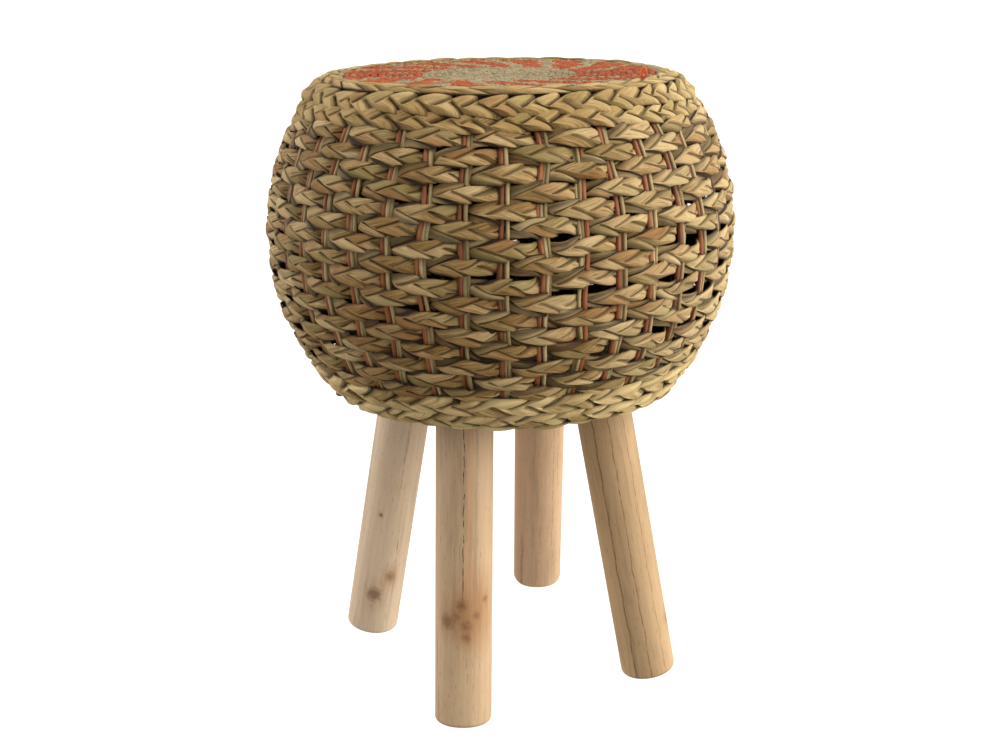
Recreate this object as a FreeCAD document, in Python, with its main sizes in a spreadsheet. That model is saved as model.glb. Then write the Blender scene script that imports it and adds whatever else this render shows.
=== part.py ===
import FreeCAD, Part
import math
import os

import Sketcher

# Woven stool: a round drum of seagrass plaits on bent stakes, with a rush mat for a seat,
# standing on four splayed pole legs. Millimetres. The origin is on the floor under the middle
# of the seat, +Z is up, +X is to the sitter's right and -Y is the front.
# Each driving size is a cell of the sheet: its name, its value and what it measures.
SIZES = (
    ("belly_dia", 336.0, "widest part of the drum, over the plaits"),
    ("body_height", 224.5, "underside of the drum to the crest of its rim"),
    ("leg_height", 225.5, "floor to the underside of the drum"),
    ("plait_thick", 6.0, "thickness of one wall plait"),
    ("weave_clear", 0.4, "room between a plait and the stakes that it passes"),
    ("course_count", 16, "plaits in the wall, one above the other"),
    ("course_gap", 0.4, "room between one course and the next"),
    ("course_bevel", 0.62, "part of a plait's height that has its full thickness"),
    ("stake_count", 40, "pairs of stakes round the drum, an even number"),
    ("stake_dia", 3.4, "dyed stake"),
    ("strand_dia", 3.2, "plain rush strand beside each dyed stake"),
    ("pair_gap", 0.2, "room between a stake and its strand"),
    ("hoop_dia", 6.0, "wire of the two hoops that hold the stakes"),
    ("hoop_clear", 0.3, "room round a hoop and at the ends of the stakes"),
    ("hoop_bite", 1.5, "how far a board's edge stops inside the middle of its hoop"),
    ("board_ease", 1.6, "chamfer of a board's edge under its braid"),
    ("rim_band", 22.7, "height of the rim braid on the outside of the drum"),
    ("base_band", 25.2, "height of the base braid on the outside of the drum"),
    ("braid_proud", 1.5, "how far both braids stand out from the wall"),
    ("braid_width", 10.7, "crest of a braid, from its outside to its bore"),
    ("braid_round", 5.0, "rounding of a braid's crest"),
    ("braid_lip_round", 2.4, "rounding of a braid's edge against the wall"),
    ("seat_thick", 12.0, "board under the mat"),
    ("seat_clear", 0.2, "room between a board and the braid that hooks over it"),
    ("mat_cord", 9.4, "rush coil of the seat mat"),
    ("mat_gap", 0.6, "room between two rounds of the mat"),
    ("mat_clear", 0.6, "room between the mat and the rim braid"),
    ("mat_drop", 3.0, "top of the mat below the crest of the rim"),
    ("base_thick", 15.0, "board that the legs are screwed to"),
    ("base_lip", 5.5, "underside of that board above the underside of the drum"),
    ("leg_dia", 40.6, "pole legs"),
    ("foot_reach", 0.5, "middle of a foot outside the bore of the two braids"),
    ("leg_splay", 10.1, "lean of a leg, degrees"),
    ("leg_skew", 9.1, "turn of the lean away from the middle of the stool, degrees"),
    ("back_foot_reach", 11.9, "the same for the back leg, which stands wider by hand"),
    ("back_leg_splay", 12.9, "the same for the back leg, degrees"),
    ("back_leg_skew", 15.5, "the same for the back leg, degrees"),
    ("leg_front_turn", -88.0, "where each leg stands, degrees from +X"),
    ("leg_right_turn", -3.0, "where each leg stands, degrees from +X"),
    ("leg_back_turn", 94.6, "where each leg stands, degrees from +X"),
    ("leg_left_turn", 177.2, "where each leg stands, degrees from +X"),
    ("foot_round", 3.5, "eased edge of the square-cut foot"),
    ("foot_level", 1.5, "middle of a foot's cut end above the floor, where its inner edge is filed flat"),
    ("screw_dia", 4.5, "shank of the leg screws"),
    ("screw_head", 9.0, "countersunk head"),
    ("screw_length", 60.0, "head to point"),
    ("screw_point", 8.0, "length of the tapered point"),
    ("screw_spread", 18.0, "between the two screws of a leg"),
    ("screw_clear", 0.15, "room round a screw in its hole"),
)

# Places that several pieces share, as formulas on the sheet.
BELLY_Z = "(sizes.leg_height + sizes.body_height / 2)"
HALF_BODY = "(sizes.body_height / 2)"
STAKE_BALL = "(sizes.belly_dia / 2 - sizes.plait_thick - sizes.weave_clear - sizes.stake_dia / 2)"
HOOP_BALL = f"({STAKE_BALL} + sizes.hoop_dia / 2 + sizes.hoop_clear)"
BRAID_BALL = "(sizes.belly_dia / 2 + sizes.braid_proud)"
BRAID_BORE = f"(sqrt({BRAID_BALL}^2 - {HALF_BODY}^2) - sizes.braid_width)"
MAT_TOP = "(sizes.leg_height + sizes.body_height - sizes.mat_drop)"
SEAT_TOP = f"({MAT_TOP} - sizes.mat_cord)"
SEAT_LOW = f"({SEAT_TOP} - sizes.seat_thick)"
BASE_LOW = "(sizes.leg_height + sizes.base_lip)"
TOP_HOOP_Z = f"({SEAT_TOP} - sizes.seat_thick / 2)"
BASE_HOOP_Z = f"({BASE_LOW} + sizes.base_thick / 2)"
TOP_HOOP_RADIUS = f"sqrt({STAKE_BALL}^2 - ({TOP_HOOP_Z} - {BELLY_Z})^2)"
BASE_HOOP_RADIUS = f"sqrt({STAKE_BALL}^2 - ({BASE_HOOP_Z} - {BELLY_Z})^2)"

# Each leg takes its reach, its lean and the turn of its lean from these sizes.
COMMON_STANCE = ("foot_reach", "leg_splay", "leg_skew")
LEGS = {
    "leg_front": COMMON_STANCE,
    "leg_right": COMMON_STANCE,
    "leg_back": ("back_foot_reach", "back_leg_splay", "back_leg_skew"),
    "leg_left": COMMON_STANCE,
}

# A plait's curves have this many points to each stake, enough for a smooth wave.
POINTS_PER_STAKE = 4
# A braid's crest keeps a little flat between its two roundings.
MOST_CREST_ROUND = 0.48
UP = FreeCAD.Vector(0, 0, 1)

doc = FreeCAD.newDocument("woven_stool")
sizes = doc.addObject("Spreadsheet::Sheet", "sizes")
for row, (name, number, meaning) in enumerate(SIZES, start=1):
    sizes.set(f"A{row}", name)
    sizes.set(f"B{row}", str(number))
    sizes.set(f"C{row}", meaning)
    sizes.setAlias(f"B{row}", name)
doc.recompute()


def size(name):
    """The sheet's value for one size."""
    return float(getattr(sizes, name))


def bound(kind, label, **formulas):
    """A document object whose properties follow formulas on the sheet; Z is its height."""
    thing = doc.addObject(kind, label)
    thing.Label = label
    for prop, formula in formulas.items():
        thing.setExpression("Placement.Base.z" if prop == "Z" else prop, formula)
    return thing


def origin_plane(body, role):
    """One of a body's own origin planes."""
    return next(plane for plane in body.Origin.OriginFeatures if plane.Role == role)


def sketch_on(body, label, role):
    """An empty sketch on one of the body's own origin planes."""
    sketch = body.newObject("Sketcher::SketchObject", label)
    sketch.AttachmentSupport = [(origin_plane(body, role), "")]
    sketch.MapMode = "FlatFace"
    return sketch


def round_in_sketch(sketch, radius, across="0", along="0"):
    """A circle in a sketch whose radius and middle follow formulas on the sheet."""
    circle = sketch.addGeometry(Part.Circle(FreeCAD.Vector(1, 1, 0), UP, 1), False)
    for kind, formula in (("Radius", radius), ("DistanceX", across), ("DistanceY", along)):
        if kind == "Radius":
            rule = Sketcher.Constraint(kind, circle, 1.0)
        else:
            rule = Sketcher.Constraint(kind, -1, 1, circle, 3, 1.0)
        number = sketch.addConstraint(rule)
        sketch.setExpression(f"Constraints[{number}]", formula)


def edges_where(shape, test):
    """The numbers of a shape's edges that pass a test, as a fillet counts them."""
    return [number for number, edge in enumerate(shape.Edges, start=1) if test(edge)]


def ring_edge(edge, radius, height, near=0.01):
    """Is this edge a full circle of that radius at that height?"""
    box = edge.BoundBox
    flat = abs(box.ZMin - height) < near and abs(box.ZMax - height) < near
    return flat and abs(box.XMax - radius) < near and abs(box.XMin + radius) < near


def hooped_board(label, low, thick, hoop_radius, eased_face):
    """A round board with a groove in its edge for its hoop, and one face's edge chamfered."""
    body = bound("PartDesign::Body", label, Z=low)
    disc = sketch_on(body, f"{label}_disc", "XY_Plane")
    round_in_sketch(disc, f"{hoop_radius} - sizes.hoop_bite")
    pad = body.newObject("PartDesign::Pad", f"{label}_pad")
    pad.Profile = disc
    pad.setExpression("Length", thick)
    seat = sketch_on(body, f"{label}_hoop_seat", "XZ_Plane")
    round_in_sketch(seat, "sizes.hoop_dia / 2 + sizes.hoop_clear", hoop_radius, f"{thick} / 2")
    doc.recompute()
    groove = body.newObject("PartDesign::Groove", f"{label}_groove")
    groove.Profile = seat
    groove.ReferenceAxis = (seat, ["V_Axis"])
    groove.Angle = 360.0
    doc.recompute()
    if groove.Shape.Volume >= pad.Shape.Volume:
        raise RuntimeError(f"the groove of {label} cut nothing")
    radius = disc.Geometry[0].Radius
    height = pad.Length.Value if eased_face == "top" else 0.0
    rim = edges_where(groove.Shape, lambda e: ring_edge(e, radius, height))
    chamfer = body.newObject("PartDesign::Chamfer", f"{label}_chamfer")
    chamfer.Base = (groove, [f"Edge{rim[0]}"])
    chamfer.setExpression("Size", "sizes.board_ease")
    doc.recompute()
    return body


def braid_ring(label, low_angle, high_angle, room_low_angle, room_high_angle, crest, edge):
    """A chunky braid as a plain ring: a band of a ball that hooks over a board and its hoop."""
    band = bound("Part::Sphere", f"{label}_band", Radius=BRAID_BALL, Z=BELLY_Z,
                 Angle1=low_angle, Angle2=high_angle)
    room = bound("Part::Sphere", f"{label}_room", Radius=HOOP_BALL, Z=BELLY_Z,
                 Angle1=room_low_angle, Angle2=room_high_angle)
    bore = bound("Part::Cylinder", f"{label}_bore", Radius=BRAID_BORE, Z="sizes.leg_height",
                 Height="sizes.body_height")
    hooked = doc.addObject("Part::Cut", f"{label}_hook")
    hooked.Base = band
    hooked.Tool = room
    ring = doc.addObject("Part::Cut", f"{label}_ring")
    ring.Base = hooked
    ring.Tool = bore
    doc.recompute()
    crest_round = min(size("braid_round"), MOST_CREST_ROUND * size("braid_width"))
    ball = band.Radius.Value
    belly_z = band.Placement.Base.z
    fillets = []
    for radius, height, rounding in (
        (bore.Radius.Value, crest, crest_round),
        (math.sqrt(ball ** 2 - (crest - belly_z) ** 2), crest, crest_round),
        (math.sqrt(ball ** 2 - (edge - belly_z) ** 2), edge, size("braid_lip_round")),
    ):
        found = edges_where(ring.Shape, lambda e: ring_edge(e, radius, height))
        if len(found) != 1:
            raise RuntimeError(f"{label} has {len(found)} edges of radius {radius} at {height}")
        fillets.append((found[0], rounding, rounding))
    rounded = doc.addObject("Part::Fillet", label)
    rounded.Label = label
    rounded.Base = ring
    rounded.Edges = fillets
    return rounded


def turned_copies(label, shape, count):
    """Copies of one solid, evenly round the stool's axis, as one group."""
    group = doc.addObject("Part::Feature", label)
    group.Label = label
    copies = []
    for number in range(count):
        copy = shape.copy()
        copy.rotate(FreeCAD.Vector(0, 0, 0), UP, 360.0 * number / count)
        copies.append(copy)
    group.Shape = Part.makeCompound(copies)
    return group


def bent_stake(label, thick, aside):
    """One bent stake beside the XZ plane, from the base hoop to the top hoop, on the stakes' ball."""
    low = f"asin(({BASE_HOOP_Z} - {BELLY_Z}) / {STAKE_BALL})"
    high = f"asin(({TOP_HOOP_Z} - {BELLY_Z}) / {STAKE_BALL})"
    hold_back = f"((sizes.hoop_dia / 2 + sizes.hoop_clear) / {STAKE_BALL} * 180 / pi * 1 deg)"
    stake = bound("Part::Torus", label, Radius1=STAKE_BALL, Radius2=f"{thick} / 2",
                  Angle3=f"{high} - {low} - 2 * {hold_back}", Z=BELLY_Z)
    doc.recompute()
    lower_end = math.asin((base_hoop.Placement.Base.z - belly_z) / stake.Radius1.Value)
    lower_end += (size("hoop_dia") / 2 + size("hoop_clear")) / stake.Radius1.Value
    upright = FreeCAD.Rotation(FreeCAD.Vector(1, 0, 0), 90)
    start = FreeCAD.Rotation(UP, math.degrees(lower_end))
    stake.Placement = FreeCAD.Placement(FreeCAD.Vector(0, aside, belly_z), upright.multiply(start))
    doc.recompute()
    return stake


def course(number, first_passes_outside):
    """One wall plait: a closed band that passes outside one pair of stakes and inside the next."""
    half_body = size("body_height") / 2
    wall_ball = size("belly_dia") / 2
    top = math.asin((half_body - size("rim_band")) / wall_ball)
    low = -math.asin((half_body - size("base_band")) / wall_ball)
    count = int(size("course_count"))
    step = (top - low) / count
    lean = top - (number - 0.5) * step
    half_high = (step * stake_ball - size("course_gap")) / 2
    half_thick = size("plait_thick") / 2
    full = half_high * size("course_bevel")
    swing = size("stake_dia") / 2 + size("weave_clear") + half_thick
    swing = swing if first_passes_outside else -swing
    waves = int(size("stake_count")) // 2
    points = POINTS_PER_STAKE * int(size("stake_count"))
    corners = (
        (half_thick, full), (0.0, half_high), (-half_thick, full),
        (-half_thick, -full), (0.0, -half_high), (half_thick, -full),
    )
    curves = []
    for outward, upward in corners:
        line = []
        for place in range(points):
            turn = 2 * math.pi * place / points
            reach = stake_ball + swing * math.cos(waves * turn) + outward
            radius = reach * math.cos(lean) - upward * math.sin(lean)
            height = belly_z + reach * math.sin(lean) + upward * math.cos(lean)
            line.append(FreeCAD.Vector(radius * math.cos(turn), radius * math.sin(turn), height))
        curve = Part.BSplineCurve()
        curve.interpolate(Points=line, PeriodicFlag=True)
        curves.append(Part.Wire(curve.toShape()))
    faces = []
    for one, other in zip(curves, curves[1:] + curves[:1]):
        faces += Part.makeLoft([one, other], False, True).Faces
    skin = Part.makeShell(faces)
    skin.sewShape()
    band = Part.makeSolid(Part.Shell(skin.Faces))
    if band.Volume < 0:
        band.reverse()
    piece = doc.addObject("Part::Feature", f"course_{number:02d}")
    piece.Label = f"course_{number:02d}"
    piece.Shape = band
    return piece


def seat_coil():
    """The mat's rush coil: one tube in half turns, each nearer the middle, flat on the board."""
    cord = size("mat_cord")
    pitch = cord + size("mat_gap")
    outer = braid_bore - size("mat_clear") - cord / 2
    halves = int((outer - cord) / (pitch / 2)) + 1
    height = seat_top + cord / 2
    edges = []
    middles = []
    start = outer
    for number in range(halves):
        radius = outer - number * pitch / 2
        side = 1 if number % 2 == 0 else -1
        middle = start - side * radius
        edges.append(Part.Arc(
            FreeCAD.Vector(start, 0, height),
            FreeCAD.Vector(middle, side * radius, height),
            FreeCAD.Vector(middle - side * radius, 0, height),
        ).toShape())
        start = middle - side * radius
        middles.append((middle, radius, side))
    path = Part.Wire(edges)
    ring = Part.Circle(FreeCAD.Vector(outer, 0, height), FreeCAD.Vector(0, 1, 0), cord / 2)
    piece = doc.addObject("Part::Feature", "seat_mat")
    piece.Label = "seat_mat"
    piece.Shape = path.makePipeShell([Part.Wire(ring.toShape())], True, False)
    print("seat_mat: half turns", halves, "tightest radius", round(radius, 2),
          "least gap to itself", round(coil_gap(middles, cord), 3))
    return piece


def coil_gap(middles, cord, steps=60):
    """The least gap between one round of the coil and the next, measured on points."""
    places = []
    for middle, radius, side in middles:
        for step in range(steps):
            turn = math.pi * step / steps
            places.append((middle + side * radius * math.cos(turn), side * radius * math.sin(turn)))
    least = math.inf
    for number, one in enumerate(places):
        for other in places[number + steps:]:
            least = min(least, math.dist(one, other))
    return least - cord


def leg_frame(label):
    """A foot's placement, with its own Z up the leg and its own X outwards."""
    reach, splay, skew = LEGS[label]
    turn = size(f"{label}_turn")
    foot_circle = braid_bore + size(reach)
    foot = FreeCAD.Rotation(UP, turn).multVec(FreeCAD.Vector(foot_circle, 0, size("foot_level")))
    tilt = FreeCAD.Rotation(FreeCAD.Vector(0, 1, 0), -size(splay))
    return FreeCAD.Placement(foot, FreeCAD.Rotation(UP, turn + size(skew)).multiply(tilt))


def screw_places(label):
    """Where the two screws of a leg pass the underside of the base board."""
    frame = leg_frame(label)
    axis = frame.Rotation.multVec(UP)
    aside = frame.Rotation.multVec(FreeCAD.Vector(0, 1, 0))
    rise = (base_low - frame.Base.z) / axis.z
    top = frame.Base + axis * rise
    return [top + aside * (side * size("screw_spread") / 2) for side in (-1, 1)]


def leg(label):
    """A pole leg: square-cut and eased at the foot, level under the board, drilled for two screws."""
    body = bound("PartDesign::Body", f"{label}_pole")
    section = sketch_on(body, f"{label}_section", "XY_Plane")
    round_in_sketch(section, "sizes.leg_dia / 2")
    pad = body.newObject("PartDesign::Pad", f"{label}_pad")
    pad.Profile = section
    pad.setExpression("Length", f"{BASE_LOW} / cos(sizes.{LEGS[label][1]} * 1 deg) + sizes.leg_dia")
    doc.recompute()
    foot_edge = edges_where(pad.Shape, lambda e: ring_edge(e, size("leg_dia") / 2, 0.0))
    eased = body.newObject("PartDesign::Fillet", f"{label}_eased_foot")
    eased.Base = (pad, [f"Edge{foot_edge[0]}"])
    eased.setExpression("Radius", "sizes.foot_round")
    body.Placement = leg_frame(label)
    drills = []
    for number, place in enumerate(screw_places(label), start=1):
        drill = bound("Part::Cylinder", f"{label}_pilot_{number}",
                      Radius="sizes.screw_dia / 2 + sizes.screw_clear", Height="sizes.screw_length")
        sink = size("screw_length") - size("base_thick") + size("screw_clear")
        drill.Placement.Base = FreeCAD.Vector(place.x, place.y, base_low - sink)
        drills.append(drill)
    waste = doc.addObject("Part::MultiFuse", f"{label}_waste")
    waste.Shapes = [above_board, below_floor] + drills
    trimmed = doc.addObject("Part::Cut", label)
    trimmed.Label = label
    trimmed.Base = body
    trimmed.Tool = waste
    return trimmed


def screw_blank():
    """One countersunk screw on its own axis, its head's top at zero."""
    body = bound("PartDesign::Body", "screw_blank")
    half = sketch_on(body, "screw_outline", "XZ_Plane")
    head = size("screw_head") / 2
    shank = size("screw_dia") / 2
    length = size("screw_length")
    outline = (
        (0, 0), (head, 0), (shank, shank - head), (shank, size("screw_point") - length), (0, -length),
    )
    for one, other in zip(outline, outline[1:] + outline[:1]):
        half.addGeometry(Part.LineSegment(FreeCAD.Vector(*one, 0), FreeCAD.Vector(*other, 0)), False)
    count = len(outline)
    for number in range(count):
        half.addConstraint(Sketcher.Constraint("Coincident", number, 2, (number + 1) % count, 1))
    for number in range(count):
        half.addConstraint(Sketcher.Constraint("Block", number))
    spin = body.newObject("PartDesign::Revolution", "screw_spin")
    spin.Profile = half
    spin.ReferenceAxis = (half, ["V_Axis"])
    spin.Angle = 360.0
    doc.recompute()
    return body


def drill_board(board, places):
    """The countersunk screw holes of the base board."""
    marks = sketch_on(board, "screw_marks", "XY_Plane")
    marks.setExpression("AttachmentOffset.Base.z", "sizes.base_thick")
    for place in places:
        marks.addGeometry(Part.Circle(FreeCAD.Vector(place.x, place.y, 0), UP, size("screw_dia") / 2), False)
    for number in range(len(places)):
        marks.addConstraint(Sketcher.Constraint("Block", number))
    before = board.Shape.Volume
    holes = board.newObject("PartDesign::Hole", "screw_holes")
    holes.Profile = marks
    doc.recompute()
    holes.ThreadType = "None"
    holes.DepthType = "ThroughAll"
    holes.setExpression("Diameter", "sizes.screw_dia + 2 * sizes.screw_clear")
    holes.HoleCutType = "Countersink"
    holes.HoleCutCustomValues = True
    holes.HoleCutCountersinkAngle = 90.0
    holes.setExpression("HoleCutDiameter", "sizes.screw_head + 2 * sizes.screw_clear")
    doc.recompute()
    if board.Shape.Volume >= before:
        raise RuntimeError("the screw holes cut nothing")


# Boards and hoops.
seat_board = hooped_board("seat_board", SEAT_LOW, "sizes.seat_thick", TOP_HOOP_RADIUS, "top")
base_board = hooped_board("base_board", BASE_LOW, "sizes.base_thick", BASE_HOOP_RADIUS, "bottom")
top_hoop = bound("Part::Torus", "top_hoop", Radius1=TOP_HOOP_RADIUS, Radius2="sizes.hoop_dia / 2",
                 Z=TOP_HOOP_Z)
base_hoop = bound("Part::Torus", "base_hoop", Radius1=BASE_HOOP_RADIUS, Radius2="sizes.hoop_dia / 2",
                  Z=BASE_HOOP_Z)
doc.recompute()
belly_z = size("leg_height") + size("body_height") / 2
base_low = base_board.Placement.Base.z
seat_top = seat_board.Placement.Base.z + size("seat_thick")

# Braids that hide the hoops and the boards' edges.
crest_angle = f"asin({HALF_BODY} / {BRAID_BALL})"
rim_braid = braid_ring(
    "rim_braid",
    f"asin(({HALF_BODY} - sizes.rim_band) / {BRAID_BALL})", crest_angle,
    "-90", f"asin(({SEAT_TOP} + sizes.seat_clear - {BELLY_Z}) / {HOOP_BALL})",
    belly_z + size("body_height") / 2, belly_z + size("body_height") / 2 - size("rim_band"),
)
base_braid = braid_ring(
    "base_braid",
    f"-{crest_angle}", f"-asin(({HALF_BODY} - sizes.base_band) / {BRAID_BALL})",
    f"asin(({BASE_LOW} - sizes.seat_clear - {BELLY_Z}) / {HOOP_BALL})", "90",
    size("leg_height"), size("leg_height") + size("base_band"),
)
braid_bore = doc.getObject("rim_braid_bore").Radius.Value

# Stakes: a dyed one and a plain strand side by side, all round the drum.
pair_half = size("pair_gap") / 2
dyed = bent_stake("dyed_stake", "sizes.stake_dia", -pair_half - size("stake_dia") / 2)
plain = bent_stake("rush_strand", "sizes.strand_dia", pair_half + size("strand_dia") / 2)
stake_ball = dyed.Radius1.Value
stakes = int(size("stake_count"))
dyed_stakes = turned_copies("dyed_stakes", dyed.Shape, stakes)
rush_strands = turned_copies("rush_strands", plain.Shape, stakes)

# Wall courses, each out of step with the one above it.
courses = [course(number, number % 2 == 1) for number in range(1, int(size("course_count")) + 1)]

# Seat mat.
seat_mat = seat_coil()

# Legs, their screws and the holes for them.
wide = "sizes.belly_dia * 2"
above_board = bound("Part::Box", "above_board", Length=wide, Width=wide, Height=wide, Z=BASE_LOW)
below_floor = bound("Part::Box", "below_floor", Length=wide, Width=wide, Height=wide, Z=f"-{wide}")
for slab in (above_board, below_floor):
    slab.setExpression("Placement.Base.x", "-sizes.belly_dia")
    slab.setExpression("Placement.Base.y", "-sizes.belly_dia")
legs = [leg(label) for label in LEGS]
places = [place for label in LEGS for place in screw_places(label)]
drill_board(base_board, places)
blank = screw_blank().Shape
screws = []
for place in places:
    screw = blank.copy()
    screw.translate(FreeCAD.Vector(place.x, place.y, base_low + size("base_thick")))
    screws.append(screw)
leg_screws = doc.addObject("Part::Feature", "leg_screws")
leg_screws.Label = "leg_screws"
leg_screws.Shape = Part.makeCompound(screws)
doc.recompute()

# Every object has to be sound before anything is written.
for thing in doc.Objects:
    if "Invalid" in thing.State or "Error" in thing.State:
        raise RuntimeError(f"{thing.Label} did not recompute: {thing.State}")
pieces = [seat_board, base_board, top_hoop, base_hoop, rim_braid, base_braid, dyed_stakes, rush_strands,
          seat_mat, leg_screws] + courses + legs
os.makedirs("parts", exist_ok=True)
for piece in pieces:
    if piece.Shape.isNull() or not piece.Shape.isValid() or not piece.Shape.Solids:
        raise RuntimeError(f"{piece.Label} is not a sound solid")
for piece in pieces:
    piece.Shape.exportStep(f"parts/{piece.Label}.step")
    box = piece.Shape.optimalBoundingBox(True, False)
    print(f"{piece.Label}: {len(piece.Shape.Solids)} solids, {piece.Shape.Volume / 1000:.1f} cm3,"
          f" z {box.ZMin:.2f} to {box.ZMax:.2f}, x {box.XMin:.1f} to {box.XMax:.1f}")
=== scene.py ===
import logging
import math
from dataclasses import dataclass, field, replace
from enum import Enum
from functools import partialmethod
from typing import ClassVar

import bpy
import numpy as np
from mathutils import Matrix, Vector


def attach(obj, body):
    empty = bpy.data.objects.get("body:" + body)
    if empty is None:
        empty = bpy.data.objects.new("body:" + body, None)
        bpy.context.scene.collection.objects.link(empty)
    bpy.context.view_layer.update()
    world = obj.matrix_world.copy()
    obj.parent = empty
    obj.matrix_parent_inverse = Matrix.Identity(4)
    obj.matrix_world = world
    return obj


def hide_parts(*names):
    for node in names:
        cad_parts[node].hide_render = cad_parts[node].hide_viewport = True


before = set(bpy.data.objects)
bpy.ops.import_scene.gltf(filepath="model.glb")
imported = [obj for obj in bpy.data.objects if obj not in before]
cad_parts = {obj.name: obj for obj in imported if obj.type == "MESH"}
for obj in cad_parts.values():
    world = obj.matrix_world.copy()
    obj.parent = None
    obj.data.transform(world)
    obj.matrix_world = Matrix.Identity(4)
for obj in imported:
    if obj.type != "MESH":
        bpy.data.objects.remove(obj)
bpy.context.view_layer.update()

# The dressed woven stool: seagrass plaits, stakes, straw braids and a stitched rush mat, built round
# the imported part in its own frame. Lengths are metres and turns are degrees from +X unless said.
LOG = logging.getLogger("woven_stool")
TAU = 2.0 * math.pi
BODY = "root"

# Painted light round the drum, lighter leaves where the lamps fall on its sides and painted shade towards the
# front: how much, the turn in the middle and how far it reaches
PAINTED_LIGHT_ROUND = ((0.76, 8.0, 44.0), (0.2, 200.0, 35.0), (-0.06, -95.0, 35.0))


class Guide(Enum):
    """Attributes that a strand's guide line hands on to its swept mesh."""

    FACING = "facing"
    WIDTH = "half_width"
    ALONG = "along"
    ACROSS = "across"
    EDGE = "edge"
    TINT = "tint"
    HUE = "hue"
    SHADE = "shade"


class Section(Enum):
    """Cross-sections of a swept strand, as the power that thins its edges."""

    ROUND = 1.0
    FLAT = 0.6


def unit(vectors: np.ndarray) -> np.ndarray:
    """Vectors scaled to a length of one."""
    return vectors / np.linalg.norm(vectors, axis=-1, keepdims=True)


def polar(radius: np.ndarray, turn: np.ndarray, height: np.ndarray) -> np.ndarray:
    """Points at distances from the axis, turns round it in radians, and heights."""
    return np.stack((radius * np.cos(turn), radius * np.sin(turn), height), axis=-1)


def round_turns(count: int) -> np.ndarray:
    """Turns evenly round a ring, in radians."""
    return np.linspace(0.0, TAU, count, endpoint=False)


def bell(turn: np.ndarray, middle: float, reach: float) -> np.ndarray:
    """A bell curve round a ring.

    Args:
        turn: Turns, radians.
        middle: Turn of its top, degrees.
        reach: How far it reaches to each side, radians.

    Returns:
        One value for each turn, up to 1.
    """
    aside = (turn - math.radians(middle) + math.pi) % TAU - math.pi
    return np.exp(-(aside / reach) ** 2)


def painted_light_round(turn: np.ndarray) -> np.ndarray:
    """How much painted light lightens the leaves at each turn round the drum; below zero it is painted shade.
    """
    return sum(share * bell(turn, middle, math.radians(reach)) for share, middle, reach in PAINTED_LIGHT_ROUND)


def ring_noise(rng: np.random.Generator, count: int, waves: tuple, size: float) -> np.ndarray:
    """Smooth noise along a closed ring.

    Args:
        rng: Seeded source of the noise.
        count: Points on the ring.
        waves: Fewest and most waves round the ring.
        size: Usual size of the noise.

    Returns:
        One value for each point.
    """
    waves = np.arange(waves[0], waves[1] + 1)
    heights = rng.normal(size=len(waves))
    starts = rng.uniform(0.0, TAU, len(waves))
    total = (heights[:, None] * np.cos(waves[:, None] * round_turns(count) + starts[:, None])).sum(axis=0)
    return size * total / math.sqrt(len(waves) / 2.0)


@dataclass
class Strand:
    """One strand's guide line, with what its swept mesh has to know at each point."""

    points: np.ndarray
    facing: np.ndarray
    half_width: np.ndarray | float
    tint: np.ndarray | float
    hue: np.ndarray | float = 0.0
    shade: np.ndarray | float = 0.0
    closed: bool = False
    along: np.ndarray = field(init=False)

    def __post_init__(self) -> None:
        """Measures the line and makes its facing directions square to it."""
        steps = np.linalg.norm(np.diff(self.points, axis=0), axis=1)
        self.along = np.concatenate(([0.0], np.cumsum(steps)))
        if self.closed:
            run = np.roll(self.points, -1, axis=0) - np.roll(self.points, 1, axis=0)
        else:
            run = np.gradient(self.points, axis=0)
        run = unit(run)
        self.facing = unit(self.facing - run * (self.facing * run).sum(axis=1, keepdims=True))

    def each(self, guide: Guide) -> np.ndarray:
        """The values of one attribute, one for each point."""
        return np.broadcast_to(getattr(self, guide.value), len(self.points))


@dataclass(frozen=True)
class Plait:
    """A flat plait of folded leaves: two rows of slanting facets that lap over one another.

    The lean is how far along the plait the line between two facets runs for each unit of height, the
    step is how far a facet lifts from its tucked side to its free side, and the tip is how far its
    free corner stands out of the plait's edge.
    """

    spacing: float
    half_height: float
    half_depth: float
    lean: float
    step: float
    bulge: float
    curl: float = 0.12
    zigzag: float = 0.25
    tip: float = 0.0012
    ragged: float = 0.0006
    tint_middle: float = 0.5
    tint_spread: float = 0.5
    hue_spread: float = 0.9
    columns: int = 12
    around: int = 28


class Wire:
    """One output of a node; arithmetic on it adds math nodes to its tree."""

    def __init__(self, tree: "Tree", socket: bpy.types.NodeSocket) -> None:
        """Keeps the tree and the node's socket."""
        self.tree = tree
        self.socket = socket

    def then(self, operation: str, *others: object) -> "Wire":
        """A math node's result from this and any other values, in that order."""
        return self.tree.math(operation, self, *others)

    def after(self, operation: str, other: object) -> "Wire":
        """A math node's result from another value and this, in that order."""
        return self.tree.math(operation, other, self)

    __add__ = partialmethod(then, "ADD")
    __sub__ = partialmethod(then, "SUBTRACT")
    __rsub__ = partialmethod(after, "SUBTRACT")
    __mul__ = partialmethod(then, "MULTIPLY")
    __truediv__ = partialmethod(then, "DIVIDE")
    __rtruediv__ = partialmethod(after, "DIVIDE")
    __pow__ = partialmethod(then, "POWER")
    __mod__ = partialmethod(then, "FLOORED_MODULO")
    __gt__ = partialmethod(then, "GREATER_THAN")
    __lt__ = partialmethod(then, "LESS_THAN")
    __abs__ = partialmethod(then, "ABSOLUTE")


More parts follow.
